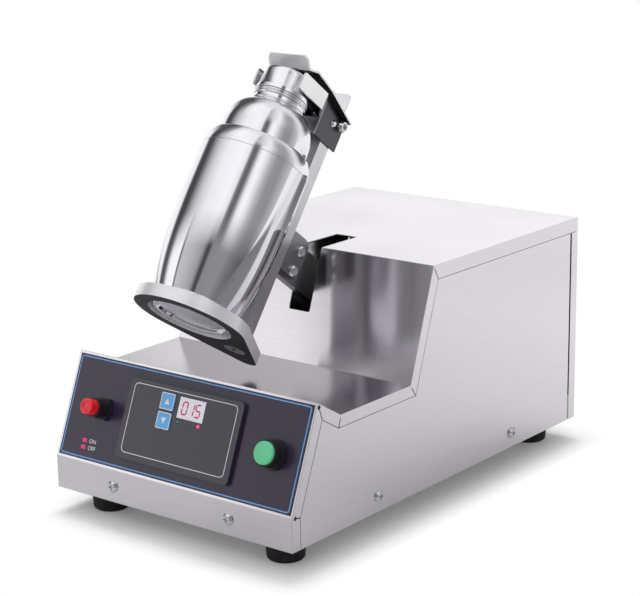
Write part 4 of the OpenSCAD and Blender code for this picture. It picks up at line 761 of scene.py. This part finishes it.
# Shaker: sizes of the lid, from its skirt in the body up to the strainer in the cap
SHAKER_GAP = 0.2
SKIRT_H = 11.0
SKIRT_S = RIM_S - SKIRT_H
BELT_H = 13.2
BELT_TAPER = 3.5
BELT_STEP = 2.4
BELT_POINTS = 5
EDGE_S = RIM_S + SHAKER_GAP
BELT_S = RIM_S + BELT_H
BELT_INSIDE = 0.4
LEDGE_IN = 1.2
LEDGE_RISE = 0.5
GROOVE_W = 1.1
GROOVE_FLOOR = 0.3
GROOVE_RISE = 0.4
DOME_R = 36.0
DOME_H = 41.5
DOME_POWER = 3.0
DOME_CROWD = 1.5
NECK_R = 20.8
DOME_END_R = NECK_R + 2.6
DOME_S = RIM_S + BELT_H + BELT_STEP
NECK_S = DOME_S + DOME_H * math.sqrt(1 - (DOME_END_R / DOME_R) ** 2)
NECK_FOOT = (0.3, 0.8)
NECK_H = 10.7
NECK_BEADS = 2
BEAD_H = 0.8
BEAD_FULL = 0.8
BEADS_SHARE = 0.9
EDGE_ROUND = 0.4
STEP_ROUND = 0.5

# Shaker: sizes of the cap and of the seat under it
CAP_S = NECK_S + NECK_H
CAP_R = 21.9
CAP_TOP_R = 20.3
CAP_H = 20.3
CAP_EDGE = 4.0
CAP_EDGE_STEPS = 10
CAP_CROWN = 0.2
CAP_BAND = ((0.15, 3.4), (0.7, 4.2))
SEAT_S = CAP_S - SHAKER_GAP
SEAT_R = CAP_R - 2 * SHAKER_GAP
SEAT_LOW = SEAT_S - 1.3
SEAT_SLOPE = 0.3
STRAINER_H = 12.0
STRAINER_S = CAP_S + STRAINER_H
SPIGOT_R = CAP_TOP_R - WALL - SHAKER_GAP
SHAKER_SEGMENTS = 192
SHAKER_SHARP = 32


def belly(s):
    """The body's radius at a height."""
    k = (s - FOOT_S) / (RIM_S - FOOT_S)
    return FOOT_R + (BELLY_R - FOOT_R) * (1 - (1 - k) ** BELLY_POWER)


SKIRT_R = belly(SKIRT_S) - WALL - SHAKER_GAP


def belly_line(inset, low, high, steps=64):
    """The body's side, as seen or from inside."""
    levels = [low + (high - low) * i / steps for i in range(steps + 1)]
    return [(belly(s) - inset, s) for s in levels]


def dome_line(inset, steps=64):
    """The lid's shoulder, steep at its foot and full at its top."""
    k = 2 / DOME_POWER
    end = math.acos((DOME_END_R / DOME_R) ** (1 / k))
    rise = (NECK_S - DOME_S) / math.sin(end) ** k
    turns = [end * (i / steps) ** DOME_CROWD for i in range(steps + 1)]
    return [(DOME_R * math.cos(a) ** k - inset, DOME_S + (rise - inset) * math.sin(a) ** k) for a in turns]


def beaded_neck(steps=12):
    """The neck's beads, each a smooth swell."""
    points = []
    for i in range(NECK_BEADS * steps):
        k = i / steps
        swell = max(0.0, math.sin(math.pi * (2 * (k % 1) - 0.5))) ** BEAD_FULL
        points.append((NECK_R + BEAD_H * swell, NECK_S + BEADS_SHARE * NECK_H * k / NECK_BEADS))
    return points[1:]


def turned(name, profile, node):
    """A part of the shaker, turned about its axis, in place of its CAD node."""
    shape = lathe_mesh([tuple(p) for p in profile], SHAKER_SEGMENTS)
    look = SLOT_LOOKS["shaker_steel"]
    obj = piece(name, shape, CRADLE, look, "cradle", SHAKER_SHARP)
    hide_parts(node)


def shaker_body():
    """The body: a foot with a sunk floor, and a full side up to the rim."""
    floor_s = FOOT_S + FOOT_SUNK
    foot = [(0, floor_s), (FOOT_R - FOOT_SLOPE[0], floor_s)]
    foot += [(FOOT_R - FOOT_SLOPE[1], FOOT_S), (FOOT_R - FOOT_EDGE, FOOT_S)]
    outside = rounded(foot, FOOT_ROUND) + belly_line(0, FOOT_S + FOOT_EDGE, RIM_S)
    inside = belly_line(WALL, floor_s + HEEL_H, RIM_S)[::-1]
    inside += [(HEEL_R, floor_s + WALL), (0, floor_s + WALL)]
    turned("shaker_body_shell", outside + inside, "shaker_body")


def lid_belt():
    """The lid's skirt and tapered belt, up to the ledge and groove at the dome's foot."""
    skirt = [(SKIRT_R, SKIRT_S), (SKIRT_R, EDGE_S), (BELLY_R, EDGE_S)]
    shares = [i / BELT_POINTS for i in range(1, BELT_POINTS)]
    belt = [(BELLY_R - BELT_TAPER * k * k, EDGE_S + (BELT_S - EDGE_S) * k) for k in shares]
    belt_r = BELLY_R - BELT_TAPER
    groove_s = BELT_S + BELT_STEP * GROOVE_RISE
    ledge = [belt[-1], (belt_r, BELT_S), (belt_r - LEDGE_IN, BELT_S + BELT_STEP * LEDGE_RISE)]
    ledge += [(DOME_R + GROOVE_W, groove_s), (DOME_R + GROOVE_W * GROOVE_FLOOR, groove_s - GROOVE_W)]
    ledge += [(DOME_R, BELT_S + BELT_STEP)]
    return rounded(skirt, EDGE_ROUND) + belt + rounded(ledge, STEP_ROUND)[1:-1]


def lid_neck():
    """The lid's beaded neck, and above it the seat and spigot that the cap goes over."""
    foot = [dome_line(0)[-1], (NECK_R, NECK_S + NECK_FOOT[0]), (NECK_R, NECK_S + NECK_FOOT[1])]
    seat = [(NECK_R, SEAT_LOW - SEAT_SLOPE), (SEAT_R, SEAT_LOW), (SEAT_R, SEAT_S)]
    spigot = [(SPIGOT_R, SEAT_S), (SPIGOT_R, STRAINER_S), (0, STRAINER_S)]
    return rounded(foot, STEP_ROUND)[:-1] + beaded_neck()[1:-1] + rounded(seat + spigot, EDGE_ROUND)


def lid_inside():
    """The lid from inside, from the strainer down to the skirt."""
    inside = [(0, STRAINER_S - WALL), (SPIGOT_R - WALL, STRAINER_S - WALL), (SPIGOT_R - WALL, SEAT_LOW)]
    inside += [(NECK_R - WALL, SEAT_LOW - WALL), (NECK_R - WALL, NECK_S - WALL)]
    inside += dome_line(WALL)[::-1]
    return inside + [(SKIRT_R - WALL, BELT_S - BELT_H * BELT_INSIDE), (SKIRT_R - WALL, SKIRT_S)]


def shaker_cap():
    """The cap: a banded foot, a slightly tapered side and a soft top edge."""
    top = CAP_S + CAP_H
    side = [(CAP_R - WALL, CAP_S), (CAP_R, CAP_S)] + [(CAP_R - step, CAP_S + up) for step, up in CAP_BAND]
    crown = [side[-1], (CAP_TOP_R, top - CAP_CROWN), (0, top)]
    outside = rounded(side, STEP_ROUND)[:-1] + rounded(crown, CAP_EDGE, CAP_EDGE_STEPS)[1:]
    inside = [(0, top - WALL), (CAP_TOP_R - CAP_EDGE, top - WALL), (CAP_TOP_R - WALL, top - CAP_EDGE)]
    turned("shaker_cap_shell", outside + inside, "shaker_cap")


shaker_body()
turned("shaker_lid_shell", lid_belt() + dome_line(0)[:-1] + lid_neck() + lid_inside(), "shaker_lid")
shaker_cap()

# Latch spring, one wire wound round the pivot, with a leg to the stop pin and one to the strap's tab
WIRE_R = 0.6
WIRE_SIDES = 12
WIRE_SHARP = 60
COIL_R = 4.2
COIL_L = 16.0
COIL_TURNS = 5
RINGS_PER_TURN = 36
LEG_START_B = 51.0
LEG_S = LATCH_S - 5.5
STRAP_OFF = 6.35
TAB_BACK = 68.8
TAB_BEND = (0.6, 1.1)
LEG_TOP = LATCH_S + 11.2


def coil_point(k):
    """A point of the winding, for k from 0 to 1."""
    a = math.radians(-90 + k * (360 * COIL_TURNS + 90))
    return (COIL_L * (k - 0.5), LATCH_B + COIL_R * math.cos(a), LATCH_S + COIL_R * math.sin(a))


def latch_spring():
    """The spring's wire from its front leg to its rear leg."""
    left, right = -COIL_L / 2, COIL_L / 2
    rings = COIL_TURNS * RINGS_PER_TURN
    wire = [(left, LEG_START_B, LEG_S), (left, LATCH_B - COIL_R, LEG_S)]
    wire += [coil_point(i / rings) for i in range(rings + 1)]
    wire += [(right, TAB_BACK - WIRE_R, LATCH_S + TAB_BEND[0] * STRAP_OFF)]
    wire += [(right, TAB_BACK, LATCH_S + TAB_BEND[1] * STRAP_OFF), (right, TAB_BACK, LEG_TOP)]
    shape = tube_mesh(wire, WIRE_R, WIRE_SIDES)
    look = SLOT_LOOKS["spring_steel"]
    spring = piece("latch_spring_wire", shape, CRADLE, look, "cradle", WIRE_SHARP)
    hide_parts("latch_spring")


latch_spring()

# Floor, in metres: white to the camera outside the object's shadow, and a table that dims for mirrors
FLOOR_HALF = 4.0
FLOOR_WHITE = 0.95
FLOOR_ROUGH = 0.9
FLOOR_GLOW = 0.1
SHADOW_REACH = 0.024
TABLE_EDGE = (0.75, 1.3)
TABLE_RUN = (0.0, 0.55)
TABLE_DIM = 0.2
FRONT_DIM = 0.48
BACK_DIM = 0.06
RIGHT_RUN = (0.28, 0.42)
RIGHT_DIM = 0.95
BACK_WHITE = (0.75, 1.1)


def ray_is(tree, *kinds):
    """1 for rays of these kinds, else 0."""
    path = add(tree, "ShaderNodeLightPath").outputs
    total = path[kinds[0]]
    for kind in kinds[1:]:
        total = maths(tree, "MAXIMUM", total, path[kind])
    return total


def glow(tree, strength):
    """Plain white light from a surface."""
    return add(tree, "ShaderNodeEmission", {"Color": WHITE, "Strength": strength}).outputs[0]


def past_shadow(tree, place):
    """Grows to 1 away from the object's footprint, where its shadow has faded."""
    half = [max(-low, high) for low, high in zip(*CAD_BOX)]
    aside = vector_maths(tree, "ABSOLUTE", place)
    past = vector_maths(tree, "SUBTRACT", aside, (half[0], half[1], 0))
    clear = vector_maths(tree, "MAXIMUM", past, (0, 0, 0))
    return spread(tree, vector_maths(tree, "LENGTH", clear), FLOOR_GLOW, 1.0, 0.0, SHADOW_REACH)


def table_dimness(tree, place):
    """How far the table dims for mirrors: some in front, more far out in front and to the right."""
    axes = axes_of(tree, place)
    far = spread(tree, vector_maths(tree, "LENGTH", place), 0.0, 1.0, *TABLE_EDGE)
    ahead = spread(tree, axes["Y"], 1.0, 0.0, *TABLE_RUN)
    near = spread(tree, axes["Y"], FRONT_DIM, BACK_DIM, *TABLE_RUN)
    right = spread(tree, maths(tree, "SUBTRACT", axes["X"], axes["Y"]), 0.0, RIGHT_DIM, *RIGHT_RUN)
    dim = maths(tree, "MAXIMUM", maths(tree, "MULTIPLY", far, ahead), near)
    return maths(tree, "MAXIMUM", dim, right)


def floor_look():
    """Diffuse white, with what the camera and mirrors see of it laid over."""
    base = {"Base_Color": grey(FLOOR_WHITE), "Roughness": FLOOR_ROUGH, "Specular_IOR_Level": 0.0}
    mat, tree, bsdf = shader("floor_white", **base)
    place = add(tree, "ShaderNodeNewGeometry").outputs["Position"]
    seen = ray_is(tree, "Is Camera Ray", "Is Transmission Ray")
    mirrored = ray_is(tree, "Is Glossy Ray")
    bare = maths(tree, "MULTIPLY", seen, past_shadow(tree, place))
    dim = maths(tree, "MULTIPLY", table_dimness(tree, place), mirrored)
    far_back = spread(tree, axes_of(tree, place)["Y"], 0.0, 1.0, *BACK_WHITE)
    behind = maths(tree, "MULTIPLY", far_back, mirrored)
    surface = bsdf.outputs[0]
    for share, level in ((bare, 1.0), (dim, TABLE_DIM), (behind, 1.0)):
        surface = add(tree, "ShaderNodeMixShader", {0: share, 1: surface, 2: glow(tree, level)}).outputs[0]
    link(tree, surface, tree.nodes["Material Output"], "Surface")
    return mat


def make_floor():
    """A wide level sheet under the feet."""
    h = FLOOR_HALF
    mesh = bpy.data.meshes.new("floor")
    mesh.from_pydata([(-h, -h, 0), (h, -h, 0), (h, h, 0), (-h, h, 0)], [], [(0, 1, 2, 3)])
    mesh.materials.append(floor_look())
    obj = bpy.data.objects.new("floor", mesh)
    bpy.context.scene.collection.objects.link(obj)


# World: greys that bright metal sees, by the angle about the shaker's axis, to the right of straight ahead
WORLD_FILL = 0.85
LOW_BAND = (0.03, 0.2)
HIGH_BAND = (0.42, 0.6)
POLE_BAND = (0.82, 0.98)
POLE_LEVEL = 0.85

# Soft boxes and dark gaps below the shaker's foot
ROOM_LOW = (
    (-180, 1.05), (-99, 1.05), (-91, 1.0), (-86, 0.25), (-81, 0.1), (-71, 0.14), (-63, 0.75), (-58, 1.1),
    (-38, 1.1), (-36.8, 0.15), (-34.5, 0.18), (-31, 0.62), (-8, 0.52), (2, 0.45), (11, 0.36), (19, 0.07),
    (24, 0.08), (29, 0.28), (60, 0.3), (75, 0.2), (100, 0.1), (124, 0.12), (142, 0.28), (180, 0.45),
)

# Soft boxes and dark gaps beside the shaker
ROOM = (
    (-180, 0.9), (-150, 1.05), (-112, 1.05), (-90, 1.0), (-85, 0.3), (-80, 0.07), (-67, 0.08), (-59, 0.24),
    (-49, 0.52), (-38, 0.75), (-20, 1.0), (12, 1.1), (24, 0.95), (29, 0.2), (36, 0.13), (41, 0.4),
    (46, 0.95), (53, 1.1), (61, 0.9), (71, 0.55), (82, 0.34), (97, 0.32), (108, 0.45), (120, 0.6),
    (132, 0.95), (150, 1.05), (180, 0.9),
)

# Soft boxes and dark gaps over the shaker's shoulder
ROOM_HIGH = (
    (-180, 0.12), (-166, 0.15), (-153, 1.1), (-126, 1.1), (-112, 0.3), (-104, 0.1), (-66, 0.09),
    (-48, 0.36), (-39, 0.85), (-20, 1.1), (23, 1.0), (29, 0.55), (33, 0.6), (45, 0.8), (61, 1.0),
    (72, 0.65), (85, 0.4), (105, 0.4), (130, 0.85), (142, 0.75), (150, 0.42), (158, 0.16), (180, 0.12),
)


def room_ramp(tree, source, levels):
    """Levels of grey by angle, as a colour ramp."""
    ramp = add(tree, "ShaderNodeValToRGB", {"Fac": source})
    stops = ramp.color_ramp.elements
    for angle, level in levels[1:-1]:
        stops.new((angle + 180) / 360).color = grey(level)
    stops[0].color = grey(levels[0][1])
    stops[len(stops) - 1].color = grey(levels[-1][1])
    return ramp.outputs["Color"]


def room_colour(tree):
    """The room's grey, by the angle about the shaker's axis and the height along it."""
    way = add(tree, "ShaderNodeTexCoord").outputs["Generated"]
    lean = {"Vector": way, "Angle": math.radians(LEAN)}
    axes = axes_of(tree, add(tree, "ShaderNodeVectorRotate", lean, rotation_type="X_AXIS").outputs[0])
    turn = maths(tree, "ARCTAN2", axes["X"], maths(tree, "MULTIPLY", axes["Y"], -1.0))
    round_room = spread(tree, turn, 0.0, 1.0, -math.pi, math.pi)
    room = room_ramp(tree, round_room, ROOM_LOW)
    for levels, band in ((ROOM, LOW_BAND), (ROOM_HIGH, HIGH_BAND)):
        rise = spread(tree, axes["Z"], 0.0, 1.0, *band)
        room = mix_colours(tree, rise, room, room_ramp(tree, round_room, levels))
    pole = spread(tree, axes["Z"], 0.0, 1.0, *POLE_BAND)
    return mix_colours(tree, pole, room, grey(POLE_LEVEL))


def make_world():
    """A studio with soft boxes and dark gaps for mirrors, and plain white to the camera."""
    world = bpy.data.worlds.new("studio")
    bpy.context.scene.world = world
    world.use_nodes = True
    tree = world.node_tree
    background = tree.nodes["Background"]
    seen = ray_is(tree, "Is Camera Ray")
    link(tree, mix_colours(tree, seen, room_colour(tree), WHITE), background, "Color")
    strength = spread(tree, ray_is(tree, "Is Diffuse Ray"), 1.0, WORLD_FILL, 0.0, 1.0)
    link(tree, strength, background, "Strength")


# Lamps and camera, in metres and watts
LAMP_AIM = Vector((0, 0, 0.1))
LAMPS = {
    "key": {"at": (-0.45, 0.3, 1.6), "size": (1.1, 0.9), "power": 17},
    "fill": {"at": (0.9, -1.3, 1.3), "size": (1.2, 0.9), "power": 6},
}


def area_light(name, at, size, power):
    """A soft lamp that mirrors don't show."""
    light = bpy.data.lights.new(name, "AREA")
    light.shape = "RECTANGLE"
    light.size, light.size_y = size
    light.energy = power
    obj = bpy.data.objects.new(name, light)
    bpy.context.scene.collection.objects.link(obj)
    obj.location = at
    obj.rotation_euler = (LAMP_AIM - Vector(at)).to_track_quat("-Z", "Y").to_euler()
    obj.visible_glossy = False


def make_camera():
    """The camera, from its place, its two angles and its roll."""
    a, e, r = (math.radians(x) for x in (AZIMUTH, ELEVATION, ROLL))
    back = Vector((math.sin(a) * math.cos(e), -math.cos(a) * math.cos(e), math.sin(e)))
    right = Vector((math.cos(a), math.sin(a), 0))
    up = back.cross(right)
    right, up = right * math.cos(r) + up * math.sin(r), up * math.cos(r) - right * math.sin(r)
    data = bpy.data.cameras.new("camera")
    data.lens = LENS
    obj = bpy.data.objects.new("camera", data)
    bpy.context.scene.collection.objects.link(obj)
    turn = Matrix((right, up, back)).transposed().to_4x4()
    obj.matrix_world = Matrix.Translation(CAMERA_AT) @ turn
    bpy.context.scene.camera = obj


make_floor()
make_world()
for lamp, settings in LAMPS.items():
    area_light(lamp, **settings)
make_camera()
bpy.context.scene.view_settings.view_transform = "Standard"
